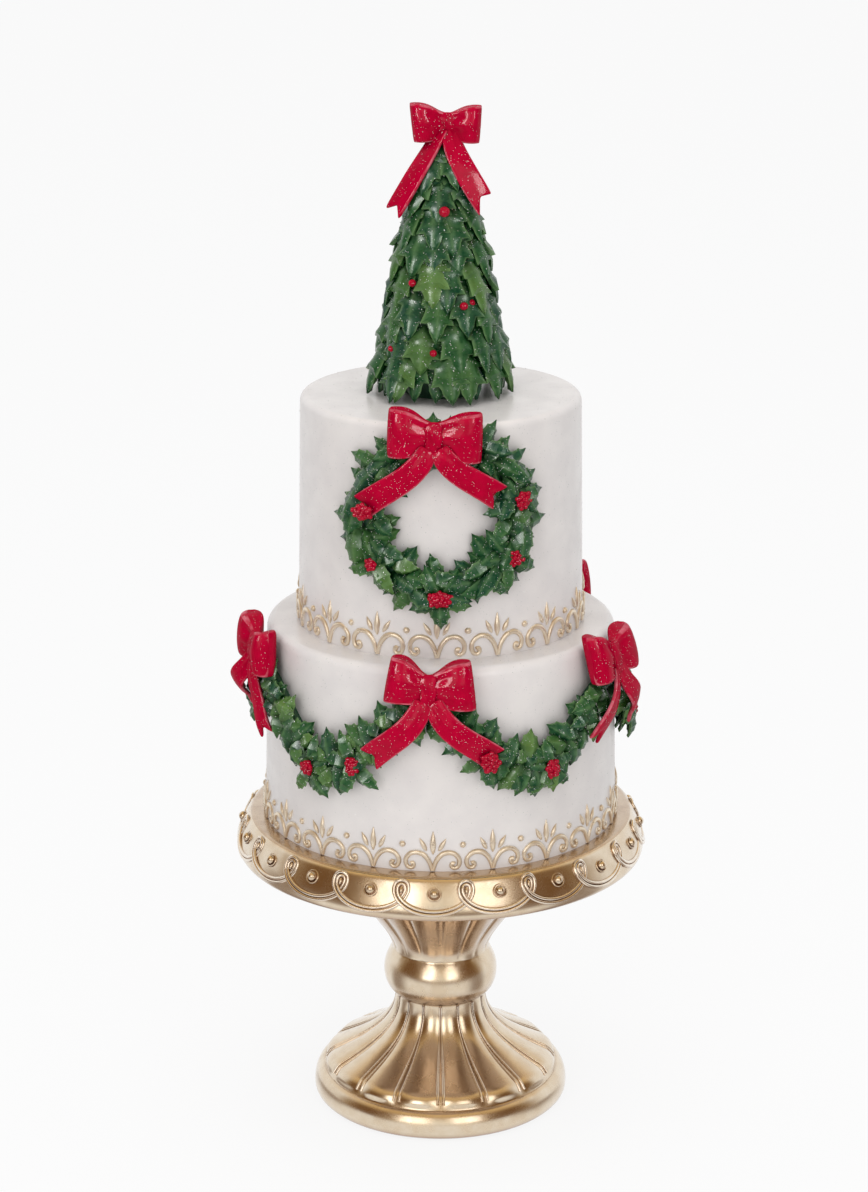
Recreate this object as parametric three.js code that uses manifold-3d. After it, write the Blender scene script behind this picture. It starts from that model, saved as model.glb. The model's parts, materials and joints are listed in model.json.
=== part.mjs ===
// A two-tier christmas cake on a gilded pedestal, a cast and painted ornament: fluted foot, stem and knop,
// skirted plate, two white tiers, a cone tree of holly leaves, a holly wreath, five holly swags, seven ribbon
// bows and red berries. Millimetres, +Z up. The origin is the middle of the foot's flat underside. Azimuth 0
// is the front, -Y, and grows towards +X. Every piece keeps a small gap to the curved pieces that it lies on;
// flat faces rest on each other.
import * as THREE from "three";
import { mergeVertices } from "three/addons/utils/BufferGeometryUtils.js";
import Module from "manifold-3d";

const wasm = await Module();
wasm.setup();

// Driving dimensions.
const foot = { baseRadius: 45.4, ringRadius: 52, ringHeight: 4.2, creaseRadius: 47.8, creaseHeight: 12 };
const neck = { radius: 18.5, height: 43.6 };
const knop = { radius: 23.1, height: 53.9, topRadius: 19.7, topHeight: 63.8 };
const flare = { radius: 40.4, height: 98 };
const flutes = { count: 16, depth: 1.1 };
const plate = {
  flatRadius: 75.8,
  topHeight: 124.5,
  skirtRadius: 82,
  lipRadius: 78.2,
  lipHeight: 107.6,
  underRadius: 60,
  underHeight: 102.4,
};
const lowerTier = { base: plate.topHeight, top: 205.4, bottomRadius: 70.4, topRadius: 68.7, rounding: 3.5 };
const upperTier = { base: lowerTier.top, top: 296.1, bottomRadius: 56.1, topRadius: 54.6, rounding: 2.8 };
const tree = { base: upperTier.top, height: 96, radius: 27.9, swell: 0.52, tipRadius: 1.2 };
const treeLeaf = { rowHeight: 13, width: 14.5, depth: 3.2, valleyRise: 4.5, valleyDepth: 1.8, lip: 0.8 };
const wreath = { azimuth: -0.3, height: 262, innerRadius: 18, outerRadius: 38.5, thickness: 5.4 };
const swag = { lowHeight: 164, rise: 24, halfWidth: 10, thickness: 5.6 };
const leaf = { tip: 3, edge: 1.6, lump: 0.6 };
const gap = 0.35;
const treeBow = { x: 2.2, height: 399.5, depth: 5.6 };
const ribbonTail = { startWidth: 7.8, endWidth: 10.4, thickness: 1.7, notch: 4.6 };
const berryCluster = { halfDepth: 1.5, dent: 0.14 };

// The five bows round the lower tier, front first: azimuth in degrees, height of the knot, and how far each
// tail's end lies from the knot, round the wall and down.
const tierBows = [
  { azimuth: -3.6, height: 201, left: [-23.3, -30.3], right: [27.3, -29.8] },
  { azimuth: 61.8, height: 201, left: [-18, -31], right: [20, -29] },
  { azimuth: 139.5, height: 201, left: [-20, -32], right: [24, -31] },
  { azimuth: 211.5, height: 202, left: [-23, -31], right: [19, -33] },
  { azimuth: 289.5, height: 201, left: [-15, -31], right: [13, -33] },
];
// Where the berry clusters lie along each swag, as parts of its length, and their half width, half height and
// lift.
const swagClusters = [
  [
    { along: 0.26, drop: -3.5, halfWidth: 4.4, halfHeight: 4.6, lift: 3.6 },
    { along: 0.57, drop: -1, halfWidth: 3.6, halfHeight: 4.4, lift: 0 },
  ],
  [
    { along: 0.36, drop: -2, halfWidth: 3.4, halfHeight: 3.8, lift: 0 },
    { along: 0.62, drop: -1, halfWidth: 3.6, halfHeight: 4, lift: 0 },
  ],
  [
    { along: 0.4, drop: -1, halfWidth: 3.2, halfHeight: 4, lift: 0 },
    { along: 0.6, drop: -3, halfWidth: 3.6, halfHeight: 3.6, lift: 0 },
  ],
  [
    { along: 0.38, drop: -3, halfWidth: 3.6, halfHeight: 3.8, lift: 0 },
    { along: 0.58, drop: -1, halfWidth: 3.2, halfHeight: 3.8, lift: 0 },
  ],
  [
    { along: 0.43, drop: -3, halfWidth: 3, halfHeight: 3.3, lift: 0 },
    { along: 0.665, drop: -3, halfWidth: 3.2, halfHeight: 4.2, lift: 0 },
  ],
];
// The wreath's clusters: clock angle from the top in degrees, distance from its middle, and size as above.
const wreathClusters = [
  { clock: 80, distance: 30, halfWidth: 3.2, halfHeight: 4, lift: 0 },
  { clock: 122, distance: 31.5, halfWidth: 3.8, halfHeight: 3.6, lift: 0 },
  { clock: 180, distance: 31, halfWidth: 5.4, halfHeight: 3.6, lift: 0 },
  { clock: 232, distance: 31, halfWidth: 2.2, halfHeight: 3, lift: 0 },
  { clock: 275, distance: 25.6, halfWidth: 3.8, halfHeight: 3.4, lift: 4.6 },
];
// The tree's berries: azimuth in degrees, height and radius.
const treeBerries = [
  [4.7, 369, 2.4],
  [-34, 342, 1.7],
  [23, 334, 1.8],
  [34, 334.5, 1.8],
  [-7, 316.5, 1.6],
  [-51, 316.5, 1.5],
  [132, 349, 2],
  [128, 320, 1.8],
  [163, 340, 2],
  [194, 366, 2.2],
  [215, 317, 1.7],
  [229, 337, 1.9],
];

const degree = Math.PI / 180;
const crimson = { color: 0xb4002c, roughness: 0.28 };
const holly = { color: 0x1f5a37, roughness: 0.45 };

// Closed surfaces.

// Joins outlines of equal point count into one closed surface, fan-capped at both ends or closed into a ring.
function loft(outlines, ring = false) {
  const size = outlines[0].length;
  const points = outlines.flat();
  const index = [];
  const spans = ring ? outlines.length : outlines.length - 1;
  for (let i = 0; i < spans; i += 1) {
    const here = i * size;
    const next = ((i + 1) % outlines.length) * size;
    for (let j = 0; j < size; j += 1) {
      const k = (j + 1) % size;
      index.push(here + j, here + k, next + k, here + j, next + k, next + j);
    }
  }
  if (!ring) {
    const last = (outlines.length - 1) * size;
    for (let j = 1; j < size - 1; j += 1) {
      index.push(0, j + 1, j, last, last + j, last + j + 1);
    }
  }
  const geometry = new THREE.BufferGeometry().setFromPoints(points);
  geometry.setIndex(index);
  return faceOut(geometry);
}

// Turns a closed surface so that its faces point out, by the sign of its volume.
function faceOut(geometry) {
  const at = geometry.getAttribute("position");
  const index = geometry.index.array;
  const corners = [new THREE.Vector3(), new THREE.Vector3(), new THREE.Vector3()];
  let volume = 0;
  for (let i = 0; i < index.length; i += 3) {
    corners.forEach((corner, n) => corner.fromBufferAttribute(at, index[i + n]));
    volume += corners[0].dot(corners[1].clone().cross(corners[2]));
  }
  if (volume < 0) {
    geometry.setIndex(Array.from(index).reverse());
  }
  return geometry;
}

// Turns a geometry into a solid for joining.
function solid(geometry) {
  const bare = new THREE.BufferGeometry().setAttribute("position", geometry.getAttribute("position").clone());
  bare.setIndex(geometry.index);
  const merged = mergeVertices(bare, 1e-4);
  const vertProperties = new Float32Array(merged.getAttribute("position").array);
  const triVerts = new Uint32Array(merged.index.array);
  return new wasm.Manifold(new wasm.Mesh({ numProp: 3, vertProperties, triVerts }));
}

function join(geometries) {
  const joined = geometries.map(solid).reduce((whole, piece) => whole.add(piece));
  const mesh = joined.getMesh();
  const geometry = new THREE.BufferGeometry();
  geometry.setAttribute("position", new THREE.BufferAttribute(mesh.vertProperties, 3));
  geometry.setIndex(new THREE.BufferAttribute(mesh.triVerts, 1));
  return geometry;
}

// A flat or wavy ring of points round the axis, radius and height given for each step.
function ringOf(steps, radiusAt, heightAt) {
  return Array.from({ length: steps }, (_, step) => {
    const angle = (step / steps) * 2 * Math.PI;
    const radius = radiusAt(step, angle);
    return new THREE.Vector3(radius * Math.sin(angle), -radius * Math.cos(angle), heightAt(step, angle));
  });
}

// A turned shape from a profile of [radius, height] that starts and ends on the axis.
function turned(profile, segments) {
  const points = profile.map(([radius, height]) => new THREE.Vector2(radius, height));
  return new THREE.LatheGeometry(points, segments).rotateX(Math.PI / 2);
}

// Points of an arc in a profile, from one angle to another, without its first point.
function arcPoints(centreRadius, centreHeight, radius, from, to, steps) {
  return Array.from({ length: steps }, (_, step) => {
    const angle = (from + ((to - from) * (step + 1)) / steps) * degree;
    return [centreRadius + radius * Math.cos(angle), centreHeight + radius * Math.sin(angle)];
  });
}

// Places on the cake.

function wallRadius(tier, height) {
  const along = (height - tier.base) / (tier.top - tier.base);
  return tier.bottomRadius + (tier.topRadius - tier.bottomRadius) * along;
}

// A place on a tier's wall, u round it, v up it and w out from it, about a point at an azimuth and a height.
function onWall(tier, azimuth, height) {
  const spread = tier.bottomRadius + swag.thickness;
  return (u, v, w) => {
    const radius = wallRadius(tier, height + v) + w;
    const angle = azimuth * degree + u / spread;
    return new THREE.Vector3(radius * Math.sin(angle), -radius * Math.cos(angle), height + v);
  };
}

// The same, but u is measured straight across the front, so that a ring stays round seen from there.
function acrossFront(tier, azimuth, height) {
  const reach = tier.bottomRadius + wreath.thickness / 2;
  const wall = onWall(tier, azimuth, height);
  const spread = tier.bottomRadius + swag.thickness;
  return (u, v, w) => wall(Math.asin(u / reach) * spread, v, w);
}

function treeRadius(height) {
  return tree.radius * Math.pow(Math.max(0, 1 - (height - tree.base) / tree.height), tree.swell);
}

// The stand.

function pedestal() {
  const path = new THREE.Path();
  path.moveTo(foot.baseRadius, 0);
  path.bezierCurveTo(50.6, 0, foot.ringRadius, 1.6, foot.ringRadius, foot.ringHeight);
  path.bezierCurveTo(foot.ringRadius, 7.8, 50.8, 11.1, foot.creaseRadius, foot.creaseHeight);
  path.quadraticCurveTo(47.3, 16, 42.8, 18.2);
  path.bezierCurveTo(33.5, 23, neck.radius, 29.5, neck.radius, neck.height);
  path.bezierCurveTo(21.6, 45.4, knop.radius, 49.7, knop.radius, knop.height);
  path.bezierCurveTo(knop.radius, 58.2, 21.4, 61, knop.topRadius, knop.topHeight);
  path.bezierCurveTo(20, 70.5, 26.5, 78.4, flare.radius, flare.height);
  const steps = flutes.count * 3;
  const isGroove = (step) => step % 3 === 0;
  const fluted = (height) =>
    (height > foot.creaseHeight + 1 && height < neck.height - 2) || height > knop.topHeight + 1;
  const profile = path.getPoints(3).filter((point, n, all) => n === 0 || point.distanceTo(all[n - 1]) > 0.01);
  const rings = profile.map(({ x, y }) =>
    ringOf(
      steps,
      (step) => x - (fluted(y) && isGroove(step) ? (flutes.depth * x) / foot.creaseRadius : 0),
      () => y,
    ),
  );
  return loft(rings);
}

function skirtedPlate() {
  const band = new THREE.CubicBezierCurve(
    new THREE.Vector2(plate.lipRadius, plate.lipHeight),
    new THREE.Vector2(plate.skirtRadius + 2.4, plate.lipHeight - 0.2),
    new THREE.Vector2(plate.skirtRadius - 1.6, plate.topHeight - 2.9),
    new THREE.Vector2(plate.flatRadius, plate.topHeight),
  );
  const profile = [
    [0, flare.height],
    [flare.radius, flare.height],
    [plate.underRadius, plate.underHeight],
    ...band.getPoints(6).map(({ x, y }) => [x, y]),
    [0, plate.topHeight],
  ];
  return turned(profile, 48);
}

// The cake.

function tier({ base, top, bottomRadius, topRadius, rounding }) {
  const profile = [
    [0, base],
    [bottomRadius, base],
    [topRadius, top - rounding],
    ...arcPoints(topRadius - rounding, top - rounding, rounding, 0, 90, 3),
    [0, top],
  ];
  return turned(profile, 40);
}

// The tree: rows of leaf tips that overhang each other, each row's leaves set between those of the row above.
function leafTree() {
  const steps = 36;
  const rows = Math.round(tree.height / treeLeaf.rowHeight) + 1;
  const rings = [];
  for (let row = 0; row < rows; row += 1) {
    const height = tree.base + row * treeLeaf.rowHeight * (1 - row * 0.014);
    const radius = treeRadius(height);
    const leaves = Math.max(4, Math.round((2 * Math.PI * radius) / treeLeaf.width));
    // 0 at a leaf's tip, 1 midway between two tips.
    const between = (angle) => {
      const turn = (angle / (2 * Math.PI)) * leaves + row / 2;
      return 1 - Math.abs(2 * (turn - Math.floor(turn)) - 1);
    };
    const rise = row === 0 ? 0 : treeLeaf.valleyRise;
    const heightAt = (step, angle) => height + rise * between(angle);
    if (row > 0) {
      const under = (step, angle) => heightAt(step, angle) - treeLeaf.lip;
      rings.push(ringOf(steps, () => radius - treeLeaf.depth, under));
    }
    rings.push(ringOf(steps, (step, angle) => radius - treeLeaf.valleyDepth * between(angle), heightAt));
  }
  const tipHeight = tree.base + tree.height - tree.tipRadius / 2;
  rings.push(ringOf(steps, () => tree.tipRadius, () => tipHeight));
  return loft(rings);
}

// Holly greenery.

// A cross-section of greenery: from one edge's tips over the leaves to the other edge's tips.
function leafSection(place, centreU, centreV, directionU, directionV, inner, outer, thickness, lump) {
  const at = (across, out) => place(centreU + directionU * across, centreV + directionV * across, out);
  return [
    at(-inner, gap),
    at(-inner, leaf.edge),
    at(-inner * 0.45, thickness - leaf.lump - lump),
    at(outer * 0.4, thickness - leaf.lump + lump),
    at(outer, leaf.edge),
    at(outer, gap),
  ];
}

// Every second step along the greenery is a leaf's tip, and no two tips reach equally far.
const tipAt = (step) => (step % 2 === 0 ? leaf.tip * (1 + 0.3 * Math.sin(step * 2.4)) : 0);
const lumpAt = (step) => (step % 2 === 0 ? leaf.lump : -leaf.lump);

function leafWreath() {
  const place = acrossFront(upperTier, wreath.azimuth, wreath.height);
  const steps = 36;
  const middle = (wreath.innerRadius + wreath.outerRadius) / 2;
  const half = wreath.outerRadius - middle;
  const sections = Array.from({ length: steps }, (_, step) => {
    const angle = (step / steps) * 2 * Math.PI;
    const [u, v] = [Math.sin(angle), Math.cos(angle)];
    const inner = half - 1 + tipAt(step + 1) * 0.6;
    const outer = half - 1 + tipAt(step);
    const [centreU, centreV] = [u * middle, v * middle];
    const front = leafSection(place, centreU, centreV, u, v, inner, outer, wreath.thickness, lumpAt(step));
    // The back is bent with the wall, so that its middle stays clear of it.
    const back = [outer * 0.36, -inner * 0.36].map((across) =>
      place(u * (middle + across), v * (middle + across), gap * 3),
    );
    return [...front, ...back];
  });
  return loft(sections, true);
}

// Where a swag hangs, at a part of its length from one bow's azimuth to the next.
function swagHeight(along) {
  return swag.lowHeight + (swag.rise * (1 + Math.cos(2 * Math.PI * along))) / 2;
}

function swagSpan(number) {
  const from = tierBows[number].azimuth;
  const next = tierBows[(number + 1) % tierBows.length].azimuth;
  return [from, next < from ? next + 360 : next];
}

function leafSwag(number) {
  const [from, to] = swagSpan(number);
  const edge = gap / 2 / lowerTier.bottomRadius / degree;
  const steps = 18;
  const sections = Array.from({ length: steps + 1 }, (_, step) => {
    const along = step / steps;
    const azimuth = from + edge + (to - from - 2 * edge) * along;
    const place = onWall(lowerTier, azimuth, swagHeight(along));
    const inner = swag.halfWidth + tipAt(step + 1);
    const outer = swag.halfWidth + tipAt(step);
    return leafSection(place, 0, 0, 0, 1, inner, outer, swag.thickness, lumpAt(step));
  });
  return loft(sections);
}

// Ribbon bows. A bow is drawn in its own u, v, w about its knot: across, up and out from what it lies on.

// The two loops and the knot, as one run of sections from one loop's outer end to the other's. Below backStep
// the back lies on the greenery, above it on the wall.
function loopsAndKnot(place, backStep) {
  const overLeaves = swag.thickness + 1.2;
  const stations = [
    { u: -16.8, top: 12.6, bottom: -6.6, front: 10 },
    { u: -11, top: 12.4, bottom: -7, front: 10.8 },
    { u: -4.4, top: 7.6, bottom: -6.6, front: 8.8 },
    { u: -2.6, top: 6.6, bottom: -6, front: 9.6 },
    { u: 2.6, top: 6.6, bottom: -6, front: 9.6 },
    { u: 4.4, top: 7.4, bottom: -6.6, front: 8.8 },
    { u: 11, top: 11, bottom: -7.4, front: 10.8 },
    { u: 17.6, top: 10.4, bottom: -7.4, front: 10 },
  ];
  const sections = stations.map(({ u, top, bottom, front }) => {
    const upperBack = backStep < top ? gap + 0.1 : overLeaves;
    const step = Math.min(Math.max(backStep, bottom + 2), top - 1);
    return [
      place(u, top, upperBack),
      place(u, top, front - 0.9),
      place(u, (top + bottom) / 2, front),
      place(u, bottom, front - 0.9),
      place(u, bottom, overLeaves),
      place(u, step - 1, overLeaves),
      place(u, step, upperBack),
    ];
  });
  return loft(sections);
}

// A ribbon's tail along a bent line from start over bend to end, its face turned to facing, its end cut to a
// V. Each section starts at its middle, so that the cap follows the cut.
function tail(place, start, bend, end, facing) {
  const curve = new THREE.QuadraticBezierCurve3(start, bend, end);
  const { startWidth, endWidth, thickness, notch } = ribbonTail;
  const steps = 4;
  const sections = Array.from({ length: steps + 1 }, (_, step) => {
    const along = step / steps;
    const centre = curve.getPoint(along);
    const tangent = curve.getTangent(along).normalize();
    const side = new THREE.Vector3().crossVectors(facing, tangent).normalize();
    const out = new THREE.Vector3().crossVectors(tangent, side).normalize();
    const halfWidth = (startWidth + (endWidth - startWidth) * along) / 2;
    const back = step === steps ? -notch : 0;
    return [
      [0, back, thickness / 2],
      [halfWidth, 0, thickness / 2],
      [halfWidth, 0, -thickness / 2],
      [0, back, -thickness / 2],
      [-halfWidth, 0, -thickness / 2],
      [-halfWidth, 0, thickness / 2],
    ].map(([across, forward, lift]) => {
      const point = centre.clone();
      point.addScaledVector(side, across).addScaledVector(tangent, forward).addScaledVector(out, lift);
      return place(point.x, point.y, point.z);
    });
  });
  return loft(sections);
}

// A bow that lies on greenery on a wall: its tails arch out over the leaves and come back at their ends.
function wallBow(place, left, right, backStep) {
  const facing = new THREE.Vector3(0, 0, 1);
  const rest = swag.thickness + 2.1;
  const tails = [left, right].map(([u, v]) => {
    const side = Math.sign(u);
    const start = new THREE.Vector3(side * 2, -3, rest + 0.4);
    const bend = new THREE.Vector3(u * 0.28, v * 0.48, rest + 4.6);
    return tail(place, start, bend, new THREE.Vector3(u, v, rest), facing);
  });
  return join([loopsAndKnot(place, backStep), ...tails]);
}

function tierBow({ azimuth, height, left, right }) {
  return wallBow(onWall(lowerTier, azimuth, height), left, right, 0.5);
}

function wreathBow() {
  const place = onWall(upperTier, wreath.azimuth - 2.2, 293);
  return wallBow(place, [-27, -28], [25.5, -23.5], 20);
}

// The tree's bow stands on the tree's tip, and its tails hang down the tree's two front sides.
function topBow() {
  const place = (u, v, w) => new THREE.Vector3(treeBow.x + u, treeBow.depth - w, treeBow.height + v);
  const standing = (u, v, w) => place(u * 0.8, v * 0.64, w);
  const leftTail = tail(
    place,
    new THREE.Vector3(-3.5, -4, 8.4),
    new THREE.Vector3(-11, -17, 13.6),
    new THREE.Vector3(-21.4, -33, 12.6),
    new THREE.Vector3(-0.75, 0.3, 0.6),
  );
  const rightTail = tail(
    place,
    new THREE.Vector3(2.2, -4, 9.2),
    new THREE.Vector3(7.4, -14, 15.8),
    new THREE.Vector3(15.4, -28, 16.2),
    new THREE.Vector3(0.4, 0.35, 0.85),
  );
  return join([loopsAndKnot(standing, -20), leftTail, rightTail]);
}

// Berries.

// A cluster of tiny berries out to its knobbly outline.
function cluster(place, halfWidth, halfHeight, base) {
  const ball = mergeVertices(new THREE.DodecahedronGeometry(1).deleteAttribute("uv").deleteAttribute("normal"));
  const at = ball.getAttribute("position");
  const points = [];
  for (let i = 0; i < at.count; i += 1) {
    const swell = i % 2 === 0 ? 1 : 1 - berryCluster.dent;
    const [x, y, z] = [at.getX(i) * swell, at.getY(i) * swell, at.getZ(i) * swell];
    points.push(place(x * halfWidth, y * halfHeight, base + (1 + z) * berryCluster.halfDepth));
  }
  const geometry = new THREE.BufferGeometry().setFromPoints(points);
  geometry.setIndex(ball.index);
  return faceOut(geometry);
}

function swagCluster(number, { along, drop, halfWidth, halfHeight, lift }) {
  const [from, to] = swagSpan(number);
  const place = onWall(lowerTier, from + (to - from) * along, swagHeight(along) + drop);
  return cluster(place, halfWidth, halfHeight, swag.thickness + gap + lift);
}

function wreathCluster({ clock, distance, halfWidth, halfHeight, lift }) {
  const u = distance * Math.sin(clock * degree);
  const place = acrossFront(upperTier, wreath.azimuth, wreath.height);
  const centred = (across, up, out) => place(u + across, distance * Math.cos(clock * degree) + up, out);
  return cluster(centred, halfWidth, halfHeight, wreath.thickness + gap + lift);
}

// A berry on the tree, resting on the leaf under it.
function berry([azimuth, height, radius], leaves) {
  const out = new THREE.Vector3(Math.sin(azimuth * degree), -Math.cos(azimuth * degree), 0);
  const start = out.clone().multiplyScalar(2 * tree.radius).setZ(height);
  const [hit] = new THREE.Raycaster(start, out.clone().negate()).intersectObject(new THREE.Mesh(leaves));
  const centre = hit.point.addScaledVector(out, radius * 1.15 + gap);
  return new THREE.DodecahedronGeometry(radius).translate(centre.x, centre.y, centre.z);
}

// The whole, each piece its own named mesh.

const cake = new THREE.Group();

function add(name, geometry, { color, roughness, metalness = 0 }) {
  const mesh = new THREE.Mesh(geometry, new THREE.MeshStandardMaterial({ color, roughness, metalness }));
  mesh.name = name;
  cake.add(mesh);
}

const gilt = { color: 0xc9ad84, roughness: 0.32, metalness: 0.85 };
const icing = { color: 0xded9d6, roughness: 0.6 };

add("pedestal", pedestal(), gilt);
add("plate", skirtedPlate(), gilt);
add("lower_tier", tier(lowerTier), icing);
add("upper_tier", tier(upperTier), icing);
const leaves = leafTree();
add("tree", leaves, holly);
add("tree_bow", topBow(), crimson);
treeBerries.forEach((place, n) => add(`tree_berry_${n + 1}`, berry(place, leaves), crimson));
add("wreath", leafWreath(), holly);
add("wreath_bow", wreathBow(), crimson);
wreathClusters.forEach((place, n) => add(`wreath_berries_${n + 1}`, wreathCluster(place), crimson));
tierBows.forEach((bow, n) => {
  add(`tier_bow_${n + 1}`, tierBow(bow), crimson);
  add(`swag_${n + 1}`, leafSwag(n), holly);
  swagClusters[n].forEach((place, side) =>
    add(`swag_berries_${n + 1}_${side + 1}`, swagCluster(n, place), crimson),
  );
});

export default cake;
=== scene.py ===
import json
import math
import random

import bpy
import numpy as np
from mathutils import Matrix, Vector
from mathutils.geometry import interpolate_bezier

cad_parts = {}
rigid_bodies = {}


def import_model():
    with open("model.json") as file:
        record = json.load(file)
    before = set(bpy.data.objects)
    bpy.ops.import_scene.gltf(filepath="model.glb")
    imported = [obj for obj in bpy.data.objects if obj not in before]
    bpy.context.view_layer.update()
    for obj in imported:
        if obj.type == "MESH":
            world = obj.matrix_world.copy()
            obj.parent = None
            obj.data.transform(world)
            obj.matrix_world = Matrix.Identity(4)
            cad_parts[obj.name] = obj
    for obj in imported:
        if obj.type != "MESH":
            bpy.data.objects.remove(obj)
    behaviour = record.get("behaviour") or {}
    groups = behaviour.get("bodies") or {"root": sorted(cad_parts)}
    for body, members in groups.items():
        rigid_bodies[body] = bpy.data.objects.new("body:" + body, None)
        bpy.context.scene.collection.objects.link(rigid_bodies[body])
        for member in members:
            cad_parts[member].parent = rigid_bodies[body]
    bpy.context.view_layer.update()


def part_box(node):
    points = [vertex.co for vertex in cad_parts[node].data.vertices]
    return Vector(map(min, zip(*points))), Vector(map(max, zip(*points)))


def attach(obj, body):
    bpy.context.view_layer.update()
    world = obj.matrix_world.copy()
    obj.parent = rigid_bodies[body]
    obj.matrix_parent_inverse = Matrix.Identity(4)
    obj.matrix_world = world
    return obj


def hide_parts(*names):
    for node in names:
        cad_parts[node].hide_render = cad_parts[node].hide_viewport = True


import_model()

mm = 0.001

# The studio: two broad lamps and two strip lamps to the left and right of the camera, a lamp above, and a
# room for the gilding to mirror, white behind the cake, brown in front of it but pale behind the camera,
# and tan overhead. The wide white floor glows: it is dim in places only to what mirrors it, and lights the
# cake most from the front.
aim_height = 213
camera_distance = 1225.3
camera_pitch = math.radians(17.24)
camera_side = -2.65

bpy.ops.object.select_all(action="DESELECT")
bpy.ops.object.camera_add(
    location=(
        camera_side * mm,
        -camera_distance * math.cos(camera_pitch) * mm,
        (aim_height + camera_distance * math.sin(camera_pitch)) * mm,
    ),
    rotation=(math.pi / 2 - camera_pitch, 0, 0),
)
camera = bpy.context.object
camera.data.sensor_fit = "VERTICAL"
camera.data.sensor_height = 36
camera.data.lens = 93.5
camera.data.clip_start = 0.05
scene = bpy.context.scene
scene.camera = camera
scene.view_settings.view_transform = "Standard"


lamps = [
    # name, azimuth and elevation in degrees, distance, width and height in metres, power in watts
    ("lamp_left", -24, 15, 1.5, 0.62, 0.95, 3.8),
    ("lamp_right", 24, 16, 1.5, 0.62, 0.95, 3.3),
    ("strip_left", -44, 17, 1.5, 0.34, 0.6, 22.0),
    ("strip_right", 38, 20, 1.5, 0.26, 0.55, 13.0),
    ("lamp_above", 0, 82, 1.6, 1.1, 1.1, 6.9),
]
for name, azimuth, elevation, distance, width, height, power in lamps:
    turn, tilt = math.radians(azimuth), math.radians(elevation)
    out = Vector((math.sin(turn), -math.cos(turn), 0)) * math.cos(tilt)
    out.z = math.sin(tilt)
    bpy.ops.object.light_add(type="AREA", location=Vector((0, 0, aim_height * mm)) + out * distance)
    lamp = bpy.context.object
    lamp.name = name
    lamp.rotation_euler = out.to_track_quat("Z", "Y").to_euler()
    lamp.data.shape = "RECTANGLE"
    lamp.data.size = width
    lamp.data.size_y = height
    lamp.data.energy = power
strips = [bpy.data.objects["strip_left"], bpy.data.objects["strip_right"]]
for strip in strips:
    strip.visible_diffuse = False
bpy.data.objects["lamp_above"].visible_glossy = False


def node(tree, kind, inputs=None, **settings):
    """Adds a shader node. An input is given a value, or is linked if it is given another node's output."""
    made = tree.nodes.new("ShaderNode" + kind)
    for key, value in settings.items():
        setattr(made, key, value)
    for key, value in (inputs or {}).items():
        if isinstance(value, bpy.types.NodeSocket):
            tree.links.new(value, made.inputs[key])
        else:
            made.inputs[key].default_value = value
    return made


def ramp(tree, factor, *stops):
    """A colour ramp through (place, colour) stops."""
    made = node(tree, "ValToRGB", {"Fac": factor})
    elements = made.color_ramp.elements
    while len(elements) < len(stops):
        elements.new(0.5)
    for element, (place, colour) in zip(elements, stops):
        element.position = place
        element.color = colour if len(colour) == 4 else (*colour, 1)
    return made.outputs["Color"]


def tint(red, green, blue):
    """A colour as the eye sees it, 0 to 255, as the shader's own light values."""
    def linear(value):
        value /= 255
        return value / 12.92 if value <= 0.04045 else ((value + 0.055) / 1.055) ** 2.4
    return (linear(red), linear(green), linear(blue), 1)


def mixed(tree, factor, low, high, blend="MIX"):
    """A mix of two colours."""
    made = node(tree, "MixRGB", {"Fac": factor, "Color1": low, "Color2": high}, blend_type=blend)
    return made.outputs["Color"]


def sum_of(tree, operation, *values):
    """The result of a sum on two or three values."""
    return node(tree, "Math", dict(enumerate(values)), operation=operation).outputs["Value"]


def stretched(tree, value, low, high, new_low=0.0, new_high=1.0):
    """A value stretched from one range to another and kept within it."""
    ends = {"From Min": low, "From Max": high, "To Min": new_low, "To Max": new_high}
    return node(tree, "MapRange", {"Value": value, **ends}).outputs["Result"]


room = bpy.data.worlds.new("room")
scene.world = room
room.use_nodes = True
tree = room.node_tree
tree.nodes.clear()
black, white = (0, 0, 0), (1, 1, 1)
direction = node(tree, "SeparateXYZ", {"Vector": node(tree, "TexCoord").outputs["Generated"]}).outputs
across_room = stretched(tree, sum_of(tree, "MULTIPLY_ADD", direction["X"], 0.06, direction["Y"]), -1.0, 1.0)
brown = (0.165, 0.069, 0.01)
walls = ramp(
    tree, across_room,
    (0.0, (0.93, 0.90, 0.84)), (0.05, (0.72, 0.62, 0.48)), (0.13, (0.27, 0.155, 0.05)), (0.2, brown),
    (0.41, brown), (0.49, (0.36, 0.235, 0.10)), (0.62, white), (1.0, white),
)
overhead = ramp(tree, direction["Z"], (0.5, black), (0.85, white))
mirrored_room = mixed(tree, overhead, walls, (0.78, 0.56, 0.28, 1))
rays = node(tree, "LightPath").outputs
soft_walls = ramp(
    tree, across_room,
    (0.0, (0.80, 0.79, 0.78)), (0.3, (0.60, 0.60, 0.60)),
    (0.52, (0.30, 0.30, 0.31)), (1.0, (0.40, 0.40, 0.41)),
)
upwards = ramp(tree, direction["Z"], (0.35, black), (0.7, white))
soft_room = mixed(tree, upwards, soft_walls, (0.86, 0.86, 0.87, 1))
lighting = mixed(tree, rays["Is Glossy Ray"], soft_room, mirrored_room)
shown = mixed(tree, rays["Is Camera Ray"], lighting, (0.965, 0.965, 0.965, 1))
background = node(tree, "Background", {"Color": shown, "Strength": 1.0})
node(tree, "OutputWorld", {"Surface": background.outputs["Background"]})

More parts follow.
